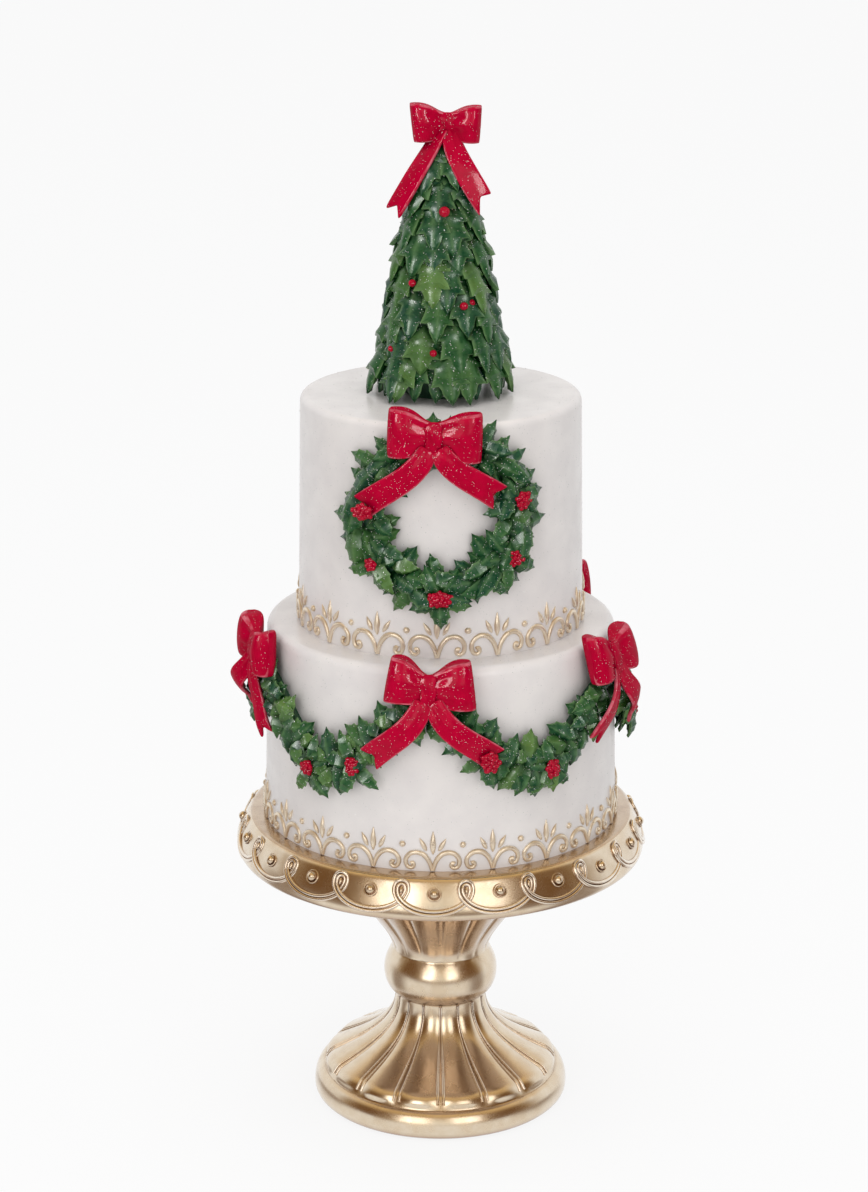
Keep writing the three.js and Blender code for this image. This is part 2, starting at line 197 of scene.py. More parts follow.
bpy.ops.mesh.primitive_circle_add(vertices=96, radius=9, fill_type="NGON")
floor = bpy.context.object
floor.name = "floor"
floor_paint = bpy.data.materials.new("floor_paint")
floor_paint.use_nodes = True
shader = floor_paint.node_tree.nodes["Principled BSDF"]
shader.inputs["Base Color"].default_value = (0.1, 0.1, 0.1, 1)
shader.inputs["Roughness"].default_value = 0.9
shader.inputs["Specular IOR Level"].default_value = 0.0
shader.inputs["Emission Strength"].default_value = 0.872
tree = floor_paint.node_tree
rays = node(tree, "LightPath").outputs
position = node(tree, "TexCoord").outputs["Object"]
place = node(tree, "SeparateXYZ", {"Vector": position}).outputs
far_front = stretched(tree, place["Y"], -0.22, -0.5)
unit = node(tree, "VectorMath", {0: position}, operation="NORMALIZE").outputs["Vector"]
bearing = node(tree, "SeparateXYZ", {"Vector": unit}).outputs
across_floor = stretched(tree, sum_of(tree, "MULTIPLY_ADD", bearing["X"], 0.14, bearing["Y"]), -1.0, 1.0)
distance = node(tree, "VectorMath", {0: position}, operation="LENGTH").outputs["Value"]
away = stretched(tree, distance, 0.058, 0.085, new_high=0.85)
beside = ramp(tree, across_floor, (0.22, black), (0.36, white), (0.52, white), (0.64, black))
dim = sum_of(tree, "MAXIMUM", far_front, sum_of(tree, "MULTIPLY", beside, away))
dimmed = sum_of(tree, "MULTIPLY", dim, rays["Is Glossy Ray"])
fall = ramp(tree, across_floor, (0.1, black), (0.4, (0.42, 0.42, 0.42)), (1.0, (0.3, 0.3, 0.3)))
held_back = sum_of(tree, "MULTIPLY", fall, rays["Is Diffuse Ray"])
glow = mixed(tree, dimmed, (1, 1, 1, 1), (0.17, 0.08, 0.02, 1))
tree.links.new(mixed(tree, held_back, glow, (0, 0, 0, 1)), shader.inputs["Emission Color"])
floor.data.materials.append(floor_paint)

# The stand: a fluted foot, a plain knop and a flaring fluted stem, cast in one piece of resin and painted in
# champagne gold, with brown painted shade in the grooves and underneath.
flute_count = 16


def cast_surface():
    """The unevenness that all painted parts share: a height for bumps and a mask of soft mottling."""
    group = bpy.data.node_groups.new("cast_surface", "ShaderNodeTree")
    for name, way in (("Lumps", "INPUT"), ("Grain", "INPUT"), ("Height", "OUTPUT"), ("Mottle", "OUTPUT")):
        group.interface.new_socket(name=name, in_out=way, socket_type="NodeSocketFloat")
    given = group.nodes.new("NodeGroupInput")
    made = group.nodes.new("NodeGroupOutput")
    place = node(group, "TexCoord").outputs["Object"]
    lumps = node(group, "TexNoise", {"Vector": place, "Scale": given.outputs["Lumps"], "Detail": 2.0})
    grain = node(group, "TexNoise", {"Vector": place, "Scale": given.outputs["Grain"], "Detail": 3.0})
    soft = sum_of(group, "MULTIPLY", lumps.outputs["Fac"], 0.7)
    height = sum_of(group, "MULTIPLY_ADD", grain.outputs["Fac"], 0.3, soft)
    group.links.new(height, made.inputs["Height"])
    mottle = node(group, "TexNoise", {"Vector": place, "Scale": given.outputs["Lumps"], "Detail": 6.0})
    group.links.new(stretched(group, mottle.outputs["Fac"], 0.35, 0.65), made.inputs["Mottle"])
    return group


surface_group = cast_surface()


def paint(name, lumps, grain, bump, roughness):
    """Paint on the cast surface. Returns the material, its node tree, its shader and the mottling."""
    material = bpy.data.materials.new(name)
    material.use_nodes = True
    tree = material.node_tree
    shader = tree.nodes["Principled BSDF"]
    surface = node(tree, "Group", node_tree=surface_group)
    surface.inputs["Lumps"].default_value = lumps
    surface.inputs["Grain"].default_value = grain
    height = surface.outputs["Height"]
    relief = node(tree, "Bump", {"Height": height, "Strength": bump, "Distance": 0.0004})
    tree.links.new(relief.outputs["Normal"], shader.inputs["Normal"])
    mottle = surface.outputs["Mottle"]
    tree.links.new(stretched(tree, mottle, 0.0, 1.0, *roughness), shader.inputs["Roughness"])
    return material, tree, shader, mottle


def mottled(name, light, dark, *surface):
    """Paint that is mottled between two colours. Returns the material and its shader."""
    material, tree, shader, mottle = paint(name, *surface)
    tree.links.new(mixed(tree, mottle, light, dark), shader.inputs["Base Color"])
    return material, shader


def coat(shader, weight, roughness, specular=0.5):
    """Sets a clear coat, and how much the paint under it shines by itself."""
    shader.inputs["Coat Weight"].default_value = weight
    shader.inputs["Coat Roughness"].default_value = roughness
    shader.inputs["Specular IOR Level"].default_value = specular


def openness(tree, reach):
    """How open a place is to its surroundings within a reach in metres, from 0 in a groove to 1."""
    return node(tree, "AmbientOcclusion", {"Distance": reach}, samples=6).outputs["AO"]


def gilding(name, light, dark, shade_brown, reach):
    """Gold paint with brown painted shade in the grooves and on faces turned downwards."""
    material, tree, shader, mottle = paint(name, 160, 1900, 0.07, (0.22, 0.29))
    gold = mixed(tree, mottle, light, dark)
    facing = node(tree, "SeparateXYZ", {"Vector": node(tree, "NewGeometry").outputs["Normal"]}).outputs["Z"]
    # Painted shade: faces turned downwards are painted towards the brown, as under the plate and the stem.
    shaded = mixed(tree, stretched(tree, facing, -0.1, -0.7, new_high=0.62), gold, shade_brown)
    # Painted shade: grooves, where little light reaches, are painted brown.
    groove = ramp(tree, openness(tree, reach), (0.30, white), (0.80, black))
    tree.links.new(mixed(tree, groove, shaded, shade_brown), shader.inputs["Base Color"])
    shader.inputs["Metallic"].default_value = 1.0
    shader.inputs["Coat IOR"].default_value = 1.9
    coat(shader, 1.0, 0.2)
    return material


gold_paint = gilding("gold_paint", tint(221, 204, 178), tint(212, 190, 158), tint(134, 82, 34), 0.003)


def curve(start, first_handle, second_handle, end, count):
    """Points of a bend in an outline of (radius, height), without its first point."""
    corners = [Vector((x, 0, z)) for x, z in (start, first_handle, second_handle, end)]
    return [(point.x, point.z) for point in interpolate_bezier(*corners, count + 1)[1:]]


def close_up(threshold):
    """Merges the doubled points of the piece being edited, turns its faces outwards and ends the editing."""
    bpy.ops.mesh.select_all(action="SELECT")
    bpy.ops.mesh.remove_doubles(threshold=threshold)
    bpy.ops.mesh.normals_make_consistent(inside=False)
    bpy.ops.object.mode_set(mode="OBJECT")


def turned(name, outline, steps):
    """A turned shape: an outline drawn by extruding a point, then spun once round the axis."""
    bpy.ops.object.select_all(action="DESELECT")
    bpy.ops.mesh.primitive_plane_add(size=0.0001, location=(outline[0][0] * mm, 0, outline[0][1] * mm))
    piece = bpy.context.object
    piece.name = name
    bpy.ops.object.transform_apply(location=True)
    bpy.ops.object.mode_set(mode="EDIT")
    bpy.ops.mesh.merge(type="CENTER")
    for here, there in zip(outline, outline[1:]):
        step = ((there[0] - here[0]) * mm, 0, (there[1] - here[1]) * mm)
        bpy.ops.mesh.extrude_vertices_move(TRANSFORM_OT_translate={"value": step})
    bpy.ops.mesh.select_all(action="SELECT")
    bpy.ops.mesh.spin(steps=steps, angle=2 * math.pi, center=(0, 0, 0), axis=(0, 0, 1))
    close_up(0.000002)
    bpy.ops.object.shade_smooth_by_angle(angle=math.radians(50))
    return piece


def finish(piece, material, slot, *nodes):
    """Gives a piece its paint and its place in the frame."""
    piece.data.materials.clear()
    piece.data.materials.append(material)
    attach(piece, "root")
    if nodes:
        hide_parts(*nodes)
    return piece


shoulder = ((47.1, 15.6), (45.2, 17.2), (42.8, 18.2))
instep = ((42.8, 18.2), (33.5, 23.0), (18.5, 29.5), (18.3, 43.6))
foot_outline = [(0, 0), (45.4, 0)]
foot_outline += curve((45.4, 0), (50.6, 0), (52.0, 1.6), (52.0, 4.2), 6)
foot_outline += curve((52.0, 4.2), (52.0, 7.8), (50.8, 11.1), (48.4, 11.9), 9)
foot_outline += [(47.8, 11.9), (47.5, 12.4)]
foot_outline += curve((47.5, 12.4), *shoulder, 8)
foot_outline += curve(*instep, 30)
foot_outline += [(18.4, 44.4), (18.9, 44.8)]
foot_outline += curve((18.9, 44.8), (21.6, 46.2), (23.1, 49.9), (23.1, 53.9), 10)
foot_outline += curve((23.1, 53.9), (23.1, 58.2), (21.4, 61.0), (19.6, 63.8), 14)
foot_outline += curve((19.6, 63.8), (20.0, 70.5), (26.5, 78.4), (40.4, 98), 26)
foot_outline += [(0, 98)]
stand = turned("gilded_stand", foot_outline, flute_count * 12)


def smooth(value):
    """Eases a value from 0 to 1 and holds it there."""
    value = min(max(value, 0), 1)
    return value * value * (3 - 2 * value)


def flute_push(azimuth, height):
    """How far a panel of the foot or a reed of the stem stands out from the turned outline, in mm."""
    aside = 2 * abs((azimuth / (2 * math.pi) * flute_count + 0.5) % 1 - 0.5)
    from_middle = 1 - aside
    if height < 44:
        strength = smooth((height - 12) / 3) * smooth((44.2 - height) / 3)
        size = 0.4 + 0.6 * smooth((38 - height) / 18)
        return strength * size * (1.7 * (1 - from_middle ** 2.2) - 1.1)
    lobe = 61.2 + 2.8 * from_middle ** 2.6
    strength = smooth((height - lobe) / 1.6)
    depth = 0.4 + 1.65 * smooth((height - 64) / 28)
    return strength * (depth * math.sqrt(1 - min(from_middle, 1) ** 2.4) - 0.3) if 60 < height < 97.9 else 0


for vertex in stand.data.vertices:
    radius = math.hypot(vertex.co.x, vertex.co.y) / mm
    if radius > 1:
        azimuth = math.atan2(vertex.co.x, -vertex.co.y)
        share = (radius + flute_push(azimuth, vertex.co.z / mm)) / radius
        vertex.co.x *= share
        vertex.co.y *= share
stand.data.update()
finish(stand, gold_paint, "gilt", "pedestal")


def added(name, data):
    """Puts data into the scene as its only selected object."""
    bpy.ops.object.select_all(action="DESELECT")
    piece = bpy.data.objects.new(name, data)
    scene.collection.objects.link(piece)
    piece.select_set(True)
    bpy.context.view_layer.objects.active = piece
    return piece


def rods(name, lines, closed=False):
    """Raised lines, each a list of (point, radius) in metres, as one mesh."""
    drawing = bpy.data.curves.new(name, "CURVE")
    drawing.dimensions = "3D"
    drawing.bevel_depth = 1.0
    drawing.bevel_resolution = 2
    drawing.use_fill_caps = True
    for line in lines:
        spline = drawing.splines.new("POLY")
        spline.points.add(len(line) - 1)
        spline.use_cyclic_u = closed
        for knot, (point, radius) in zip(spline.points, line):
            knot.co = (*point, 1)
            knot.radius = radius
    piece = added(name, drawing)
    bpy.ops.object.convert(target="MESH")
    bpy.ops.object.shade_smooth_by_angle(angle=math.radians(70))
    return piece


def around(azimuth, radius, height):
    """A point at an azimuth in radians, a radius and a height in mm, in metres."""
    return Vector((radius * math.sin(azimuth), -radius * math.cos(azimuth), height)) * mm


# The ribs of the foot: a pair of thin raised lines in each valley between the panels, from the knop's foot
# to the ring. They are painted a paler gold than the panels, a painted highlight on the raised lines.
rib_paint = gilding("rib_paint", tint(238, 228, 212), tint(229, 212, 190), tint(164, 122, 76), 0.0012)
rib_lines = []
rib_outline = curve((47.5, 12.9), *shoulder, 8) + curve(*instep, 26)
for flute in range(flute_count):
    valley = 2 * math.pi * flute / flute_count
    for side in (-1, 1):
        line = []
        for radius, height in rib_outline:
            reach = radius + flute_push(valley, height) + 0.35
            size = 0.35 + 0.65 * smooth((37 - height) / 18)
            apart = 0.35 + 0.85 * smooth((36 - height) / 20)
            line.append((around(valley + side * apart / radius, reach, height), 0.56 * size * mm))
        rib_lines.append(line)
finish(rods("foot_ribs", rib_lines), rib_paint, "gilt")

# The plate: turned from the same gilded resin, with a flat top and a skirt that curls under to a lip. The
# flat rim round the cake is painted a darker, duller brown gold. A cord of two rounded strands runs round
# the skirt in loops and scallops, with a pearl in a ring in each scallop and a seed in each loop.
plate_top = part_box("plate")[1].z / mm
scallops = 20
skirt_line = [(78.2, 107.6)] + curve((78.2, 107.6), (81.0, 107.5), (82.3, 109.3), (81.9, 111.6), 10)
skirt_line += curve((81.9, 111.6), (81.5, 114.5), (80.0, 118.8), (78.0, 122.4), 22)
plate_outline = [(0, 98.2), (41, 98.2), (56, 101.2), (66, 104.4), (74, 106.8)]
plate_outline += skirt_line + curve((78.0, 122.4), (77.4, 123.6), (76.8, 124.1), (75.8, 124.2), 6)
plate_outline += [(70, 124.3), (0, 124.3)]
finish(turned("gilded_plate", plate_outline, 144), gold_paint, "gilt", "plate")
brown_rim_paint = gilding("brown_rim_paint", tint(196, 166, 128), tint(178, 144, 102), tint(132, 88, 46), 0.001)
brown_rim_paint.node_tree.nodes["Principled BSDF"].inputs["Metallic"].default_value = 0.7
rim_outline = [(69.6, 124.2), (69.8, plate_top), (75.4, plate_top), (76.2, 124.35), (76.6, 124.0)]
finish(turned("plate_rim_wash", rim_outline, 144), brown_rim_paint, "gilt")

skirt_heights = [height for _, height in skirt_line]
skirt_radii = [radius for radius, _ in skirt_line]


def on_skirt(azimuth, height, lift):
    """A point on the skirt at a height, or lift mm out from it."""
    radius = float(np.interp(height, skirt_heights, skirt_radii))
    return around(azimuth, radius + lift, height)


def cord(turn, offset):
    """The cord's path at a turn in radians, offset mm to its side: (distance round the skirt, height)."""
    step = cord_radius / scallops

    def path(at):
        return Vector((step * at - 7.4 * math.sin(at), 117.4 + 5.5 * math.cos(at)))
    here = path(turn)
    ahead = (path(turn + 0.01) - path(turn - 0.01)).normalized()
    return here.x - ahead.y * offset, here.y + ahead.x * offset


cord_radius = 80.5
first_loop = math.radians(-11)
cord_steps = 48
cord_lines = []
for offset in (-0.7, 0.7):
    line = []
    for step in range(scallops * cord_steps):
        turn = 2 * math.pi * step / cord_steps
        distance, height = cord(turn, offset)
        over = 0.35 * math.sin(turn)
        line.append((on_skirt(first_loop + distance / cord_radius, height, 0.05 + over), 0.7 * mm))
    cord_lines.append(line)
# The cord takes the ribs' paler gold, a painted highlight on its raised strands.
finish(rods("plate_cord", cord_lines, closed=True), rib_paint, "gilt")


def ball(name, radius, segments=16, rings=10):
    """A round bead at the origin."""
    bpy.ops.object.select_all(action="DESELECT")
    bpy.ops.mesh.primitive_uv_sphere_add(segments=segments, ring_count=rings, radius=radius * mm)
    piece = bpy.context.object
    piece.name = name
    bpy.ops.object.shade_smooth()
    return piece


def placed(pattern, matrix):
    """A copy of a pattern piece with its own mesh, moved by a matrix."""
    copy = pattern.copy()
    copy.data = pattern.data.copy()
    copy.data.transform(matrix)
    scene.collection.objects.link(copy)
    return copy


def joined(name, copies):
    """Joins copies into one piece."""
    bpy.ops.object.select_all(action="DESELECT")
    for copy in copies:
        copy.select_set(True)
    bpy.context.view_layer.objects.active = copies[0]
    bpy.ops.object.join()
    piece = bpy.context.object
    piece.name = name
    return piece


def outward(point, slope=0.0):
    """Turns +Y to point out of the wall at a point, +Z up, and moves the origin there."""
    azimuth = math.atan2(point.x, -point.y)
    turn = Matrix.Rotation(azimuth, 4, "Z") @ Matrix.Rotation(slope, 4, "X")
    return Matrix.Translation(point) @ turn


chance = random.Random(5)
pearl = ball("pearl", 1.9)
bpy.ops.mesh.primitive_torus_add(
    major_segments=24, minor_segments=8, major_radius=2.55 * mm, minor_radius=0.34 * mm,
    rotation=(math.pi / 2, 0, 0),
)
ring = bpy.context.object
bpy.ops.object.transform_apply(rotation=True)
bpy.ops.object.shade_smooth()
pearls = []
for scallop in range(scallops):
    at = first_loop + 2 * math.pi * (scallop + 0.5) / scallops + chance.uniform(-0.012, 0.012)
    here = outward(on_skirt(at, 118.9 + chance.uniform(-0.5, 0.5), 0.35), math.radians(-32))
    pearls.append(placed(pearl, here))
    pearls.append(placed(ring, here @ Matrix.Translation((0, 0.3 * mm, 0))))
    seed_at = first_loop + 2 * math.pi * scallop / scallops
    seed = Matrix.Diagonal((0.36, 0.4, 0.8, 1))
    pearls.append(placed(pearl, outward(on_skirt(seed_at, 120.2, 0.1), math.radians(-35)) @ seed))
bpy.data.objects.remove(pearl)
bpy.data.objects.remove(ring)
finish(joined("plate_pearls", pearls), gold_paint, "gilt")

# The tiers: smooth white drums with a rounded top edge, cast solid in look and painted a warm satin white.
icing_paint, shader = mottled(
    "icing_paint", tint(223, 218, 215), tint(216, 211, 209), 90, 900, 0.10, (0.36, 0.46),
)
coat(shader, 0.45, 0.2)


class Tier:
    """A drum of the cake: where its wall is. Widths round it hold at its spread, where the trimmings lie."""

    def __init__(self, node_name, bottom_radius, top_radius, rounding):
        low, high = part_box(node_name)
        self.base = low.z / mm
        self.top = high.z / mm
        self.bottom_radius = bottom_radius
        self.top_radius = top_radius
        self.rounding = rounding
        self.spread = bottom_radius + 5.6

    def radius(self, height):
        """The wall's radius at a height, drawn in over the rounded top edge."""
        along = (height - self.base) / (self.top - self.base)
        radius = self.bottom_radius + (self.top_radius - self.bottom_radius) * along
        over = max(0, height - (self.top - self.rounding)) / self.rounding
        return radius - self.rounding * (1 - math.sqrt(max(0, 1 - min(over, 1) ** 2)))

    def place(self, azimuth, height):
        """Places on the wall, in mm from a point on it: u round it, v up it and w out from it."""
        def at(u, v, w):
            level = min(height + v, self.top - self.rounding)
            return around(math.radians(azimuth) + u / self.spread, self.radius(level) + w, height + v)
        return at

    def outline(self):
        """The outline to spin, from the middle of the base to the middle of the top."""
        corner = self.top_radius - self.rounding
        points = [(0, self.base), (self.bottom_radius, self.base)]
        for step in range(1, 13):
            height = self.base + (self.top - self.rounding - self.base) * step / 12
            points.append((self.radius(height), height))
        for step in range(1, 9):
            angle = math.pi / 2 * step / 8
            height = self.top - self.rounding + self.rounding * math.sin(angle)
            points.append((corner + self.rounding * math.cos(angle), height))
        return points + [(0, self.top)]


lower_tier = Tier("lower_tier", 70.4, 68.7, 3.5)
upper_tier = Tier("upper_tier", 56.1, 54.6, 2.8)
drums = []
for name, tier in (("lower_tier", lower_tier), ("upper_tier", upper_tier)):
    drums.append(finish(turned(name + "_icing", tier.outline(), 144), icing_paint, "icing", name))

# The gilded scrolls round the foot of each tier: pairs of curled lines whose feet meet under a fan of three
# petals, with a dot between the pairs. They are raised from the wall, and gold is rubbed over what stands
# out, so that their flanks stay white. The gold turns browner towards the flanks as painted shade.
scroll_paint, tree, shader, mottle = paint("scroll_paint", 260, 1900, 0.10, (0.26, 0.36))
surface = node(tree, "NewGeometry")
level = node(tree, "VectorMath", {0: surface.outputs["Position"], 1: (1, 1, 0)}, operation="MULTIPLY")
radial = node(tree, "VectorMath", {0: level.outputs["Vector"]}, operation="NORMALIZE").outputs["Vector"]
facing = node(tree, "VectorMath", {0: surface.outputs["Normal"], 1: radial}, operation="DOT_PRODUCT")
facing = facing.outputs["Value"]
rubbed = ramp(tree, sum_of(tree, "MULTIPLY_ADD", mottle, 0.6, facing), (0.25, black), (0.75, white))
# Painted shade: the gold is browner on faces turned away from the outward direction.
flank_shade = ramp(tree, facing, (0.1, white), (0.8, black))
gold = mixed(tree, flank_shade, tint(232, 218, 196), tint(188, 160, 122))
tree.links.new(mixed(tree, rubbed, tint(224, 216, 206), gold), shader.inputs["Base Color"])
tree.links.new(sum_of(tree, "MULTIPLY", rubbed, 0.65), shader.inputs["Metallic"])


scroll_lift, petal_lift, dot_lift = 0.22, 0.12, 0.1
dot_radius = 1.3


def scroll(place, side, width, rise):
    """One curled line, from its foot at the fan over its arch and down into its curl."""
    arch = [(0.02, 0.00), (0.06, 0.28), (0.15, 0.62), (0.31, 0.90), (0.52, 1.00), (0.72, 0.92), (0.86, 0.68)]
    curl = [(0.88, 0.40), (0.82, 0.19), (0.70, 0.13), (0.61, 0.25), (0.64, 0.41), (0.73, 0.36)]
    thickness = [0.70, 0.84, 0.98, 1.06, 1.04, 0.98, 0.92, 0.88, 0.84, 0.78, 0.74, 0.78, 1.0]
    knots = [Vector((x * width, y * rise)) for x, y in arch + curl]
    line = []
    for number in range(len(knots) - 1):
        before = knots[max(number - 1, 0)]
        here, there = knots[number], knots[number + 1]
        after = knots[min(number + 2, len(knots) - 1)]
        handles = [here + (there - before) / 6, there - (after - here) / 6]
        for step, point in enumerate(interpolate_bezier(here, *handles, there, 5)[:-1]):
            share = step / 4
            radius = thickness[number] * (1 - share) + thickness[number + 1] * share
            line.append((place(side * point.x, point.y, scroll_lift), radius * mm))
    line.append((place(side * knots[-1].x, knots[-1].y, 0.3), thickness[-1] * mm))
    return line


def petal(place, across, foot, lean, length, thickness):
    """A pointed petal, from its foot along its lean."""
    line = []
    for step in range(10):
        along = step / 9
        radius = thickness * math.sin(math.pi * min(max(along, 0.02), 0.97) ** 0.8) ** 0.8
        reach = length * along
        middle = place(across + reach * math.sin(lean), foot + reach * math.cos(lean), petal_lift)
        line.append((middle, radius * mm))
    return line


def scrolls(name, tier, count, first, rise, dot_height):
    """All the scrolls, petals and dots round a tier."""
    pitch = 360 / count
    half_width = math.radians(pitch) * tier.spread / 2
    lines = []
    for number in range(count):
        azimuth = first + number * pitch
        place = tier.place(azimuth, tier.base + 0.5)
        for side in (-1, 1):
            lines.append(scroll(place, side, half_width, rise))
            lean = math.radians(31 + chance.uniform(-4, 4))
            lines.append(petal(place, side * 2.5, rise + 0.6, side * lean, 5.8, 0.96))
        lines.append(petal(place, chance.uniform(-0.2, 0.2), rise - 0.8, 0, 9.2, 1.2))
        dots = tier.place(azimuth + pitch / 2, tier.base + 0.5)
        dot = []
        for step in range(1, 6):
            angle = step * math.pi / 6
            middle = dots(0, dot_height + dot_radius * math.cos(angle), dot_lift)
            dot.append((middle, dot_radius * mm * math.sin(angle)))
        lines.append(dot)
    return finish(rods(name, lines), scroll_paint, "gilt")


scrolls("upper_scrolls", upper_tier, 15, -1.5, 8.3, 10.5)
scrolls("lower_scrolls", lower_tier, 19, -2.6, 7.3, 10.4)

# Holly: two leaves are modelled, a broad wedge for the tree and a pointed oval for the garlands, both
# folded along the midrib, with soft spines and thick edges, and copied wherever holly grows. The leaves are
# cast resin, painted green with paler tips, ridges and edges, under a thin gloss, with painted shade towards
# the stalk and in the crevices between them.
wedge_rows = [
    # along, half width, how far the edge reaches forward
    (0.00, 0.18, 0.00), (0.10, 0.28, 0.00), (0.20, 0.35, 0.00), (0.30, 0.43, 0.07), (0.37, 0.30, 0.02),
    (0.47, 0.32, 0.02), (0.56, 0.43, 0.12), (0.63, 0.25, 0.04), (0.72, 0.20, 0.02), (0.80, 0.18, 0.01),
    (0.90, 0.10, 0.00), (1.00, 0.00, 0.00),
]
oval_rows = [
    (0.00, 0.04, 0.00), (0.08, 0.14, 0.00), (0.17, 0.27, 0.00), (0.27, 0.39, 0.04), (0.33, 0.36, 0.02),
    (0.43, 0.38, 0.02), (0.52, 0.42, 0.05), (0.58, 0.34, 0.02), (0.67, 0.29, 0.02), (0.75, 0.27, 0.05),
    (0.81, 0.16, 0.02), (0.90, 0.08, 0.00), (1.00, 0.00, 0.00),
]
leaf_columns = 5
leaf_half_width = 0.42


def thicken(piece, thickness, offset):
    """Gives the selected piece, a bare sheet, a thickness."""
    wall = piece.modifiers.new("wall", "SOLIDIFY")
    wall.thickness = thickness
    wall.offset = offset
    bpy.ops.object.modifier_apply(modifier="wall")


def leaf_pattern(name, rows, fold, arch, curl):
    """A leaf one unit long, from its stalk at the origin along +Y, facing +Z."""
    bpy.ops.object.select_all(action="DESELECT")
    bpy.ops.mesh.primitive_grid_add(x_subdivisions=leaf_columns - 1, y_subdivisions=len(rows) - 1, size=1)
    piece = bpy.context.object
    piece.name = name
    colours = piece.data.attributes.new("leaf", "FLOAT_COLOR", "POINT")
    values = []
    for vertex in piece.data.vertices:
        row = round((vertex.co.y + 0.5) * (len(rows) - 1))
        across = vertex.co.x * 2
        along, half, forward = rows[row]
        side = abs(across)
        ridge = fold * (1 - side) * (half / leaf_half_width) ** 0.7 + 0.035 * math.sin(math.pi * side)
        rise = arch * math.sin(math.pi * min(along * 0.9, 1))
        vertex.co = (across * half, along + forward * side ** 3, ridge + rise + curl * forward * side ** 4)
        values += [along, side, 0.5, 1]
    colours.data.foreach_set("color", values)
    bpy.ops.object.mode_set(mode="EDIT")
    close_up(0.001)
    if piece.data.polygons[0].normal.z < 0:
        piece.data.flip_normals()
    thicken(piece, 0.1, -1)
    bpy.ops.object.shade_smooth_by_angle(angle=math.radians(30))
    return piece


wedge_leaf = leaf_pattern("wedge_leaf", wedge_rows, 0.17, 0.09, 0.5)
oval_leaf = leaf_pattern("oval_leaf", oval_rows, 0.30, 0.10, -0.25)

leaf_paint, tree, shader, mottle = paint("leaf_paint", 330, 1900, 0.5, (0.22, 0.4))
leaf_data = node(tree, "Attribute", attribute_name="leaf").outputs["Color"]
parts = node(tree, "SeparateColor", {"Color": leaf_data}).outputs
along, aside, tone = parts["Red"], parts["Green"], parts["Blue"]
green = ramp(
    tree, tone,
    (0.0, tint(0, 58, 42)), (0.3, tint(4, 62, 34)), (0.62, tint(28, 76, 36)), (1.0, tint(88, 118, 54)),
)
# Painted shade: the leaf darkens towards its stalk, where the row above covers it.
stalk_shade = ramp(tree, along, (0.0, white), (0.4, (0.2, 0.2, 0.2)), (0.75, black))
body = mixed(tree, stalk_shade, green, tint(0, 42, 22))
cloud = mixed(tree, mottle, body, mixed(tree, 0.28, body, tint(76, 122, 70)))
ridge = ramp(tree, aside, (0.0, (0.24, 0.24, 0.24)), (0.3, black))
rim = ramp(tree, aside, (0.72, black), (1.0, (0.5, 0.5, 0.5)))
painted = mixed(tree, sum_of(tree, "ADD", ridge, rim), cloud, tint(114, 146, 92))
# Painted shade in the crevices between leaves, darker where little light reaches.
crevice_shade = ramp(tree, openness(tree, 0.005), (0.3, (0.08, 0.30, 0.16)), (0.9, white))
tree.links.new(mixed(tree, 1.0, painted, crevice_shade, "MULTIPLY"), shader.inputs["Base Color"])
coat(shader, 0.22, 0.26, 0.15)


def leaf_between(pattern, stalk, tip, out, width, tone, roll=0.25):
    """A copy of a leaf from stalk to tip, both in metres, facing out and rolled a little, width mm wide."""
    along = tip - stalk
    length = along.length
    along.normalize()
    face = (out - along * out.dot(along)).normalized()
    face = (face + along.cross(face) * chance.uniform(-roll, roll)).normalized()
    across = along.cross(face)
    turn = Matrix((across, along, face)).transposed().to_4x4()
    breadth = width * mm / (2 * leaf_half_width)
    size = Matrix.Diagonal((breadth, length, breadth, 1))
    leaf = placed(pattern, Matrix.Translation(stalk) @ turn @ size)
    values = np.zeros(len(leaf.data.vertices) * 4, np.float32)
    colours = leaf.data.attributes["leaf"].data
    colours.foreach_get("color", values)
    values[2::4] = min(max(tone + chance.uniform(-0.08, 0.08), 0), 1)
    colours.foreach_set("color", values)
    return leaf


# The tree: a cone of resin covered with rows of holly leaves that hang and overlap like shingles, each tucked
# under the row above. A second layer of leaves, sunk deeper, closes the gaps between them and is painted
# darker as painted shade.
tree_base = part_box("tree")[0].z / mm
tree_height = 96
tree_width = 27.9
stalk_depth, tip_depth = 5.6, 2.9


def tree_radius(height):
    """The radius of the cone at a height."""
    return tree_width * max(0, 1 - (height - tree_base) / tree_height) ** 0.52


def tree_leaf(stalk_azimuth, stalk_height, tip_azimuth, tip_height, width, tone, lift):
    """A leaf that hangs from its stalk to its tip, the stalk sunk among the leaves above."""
    sunk = tree_radius(stalk_height) - stalk_depth + min(lift, 0)
    stalk = around(math.radians(stalk_azimuth), max(0.6, sunk), stalk_height)
    flare = max(0, 1 - (tip_height - tree_base) / 6)
    tip = around(math.radians(tip_azimuth), tree_radius(tip_height) - tip_depth + flare + lift, tip_height)
    middle = math.radians((stalk_azimuth + tip_azimuth) / 2)
    out = Vector((math.sin(middle), -math.cos(middle), 0.35))
    return leaf_between(wedge_leaf, stalk, tip, out, width, tone, 0.24)


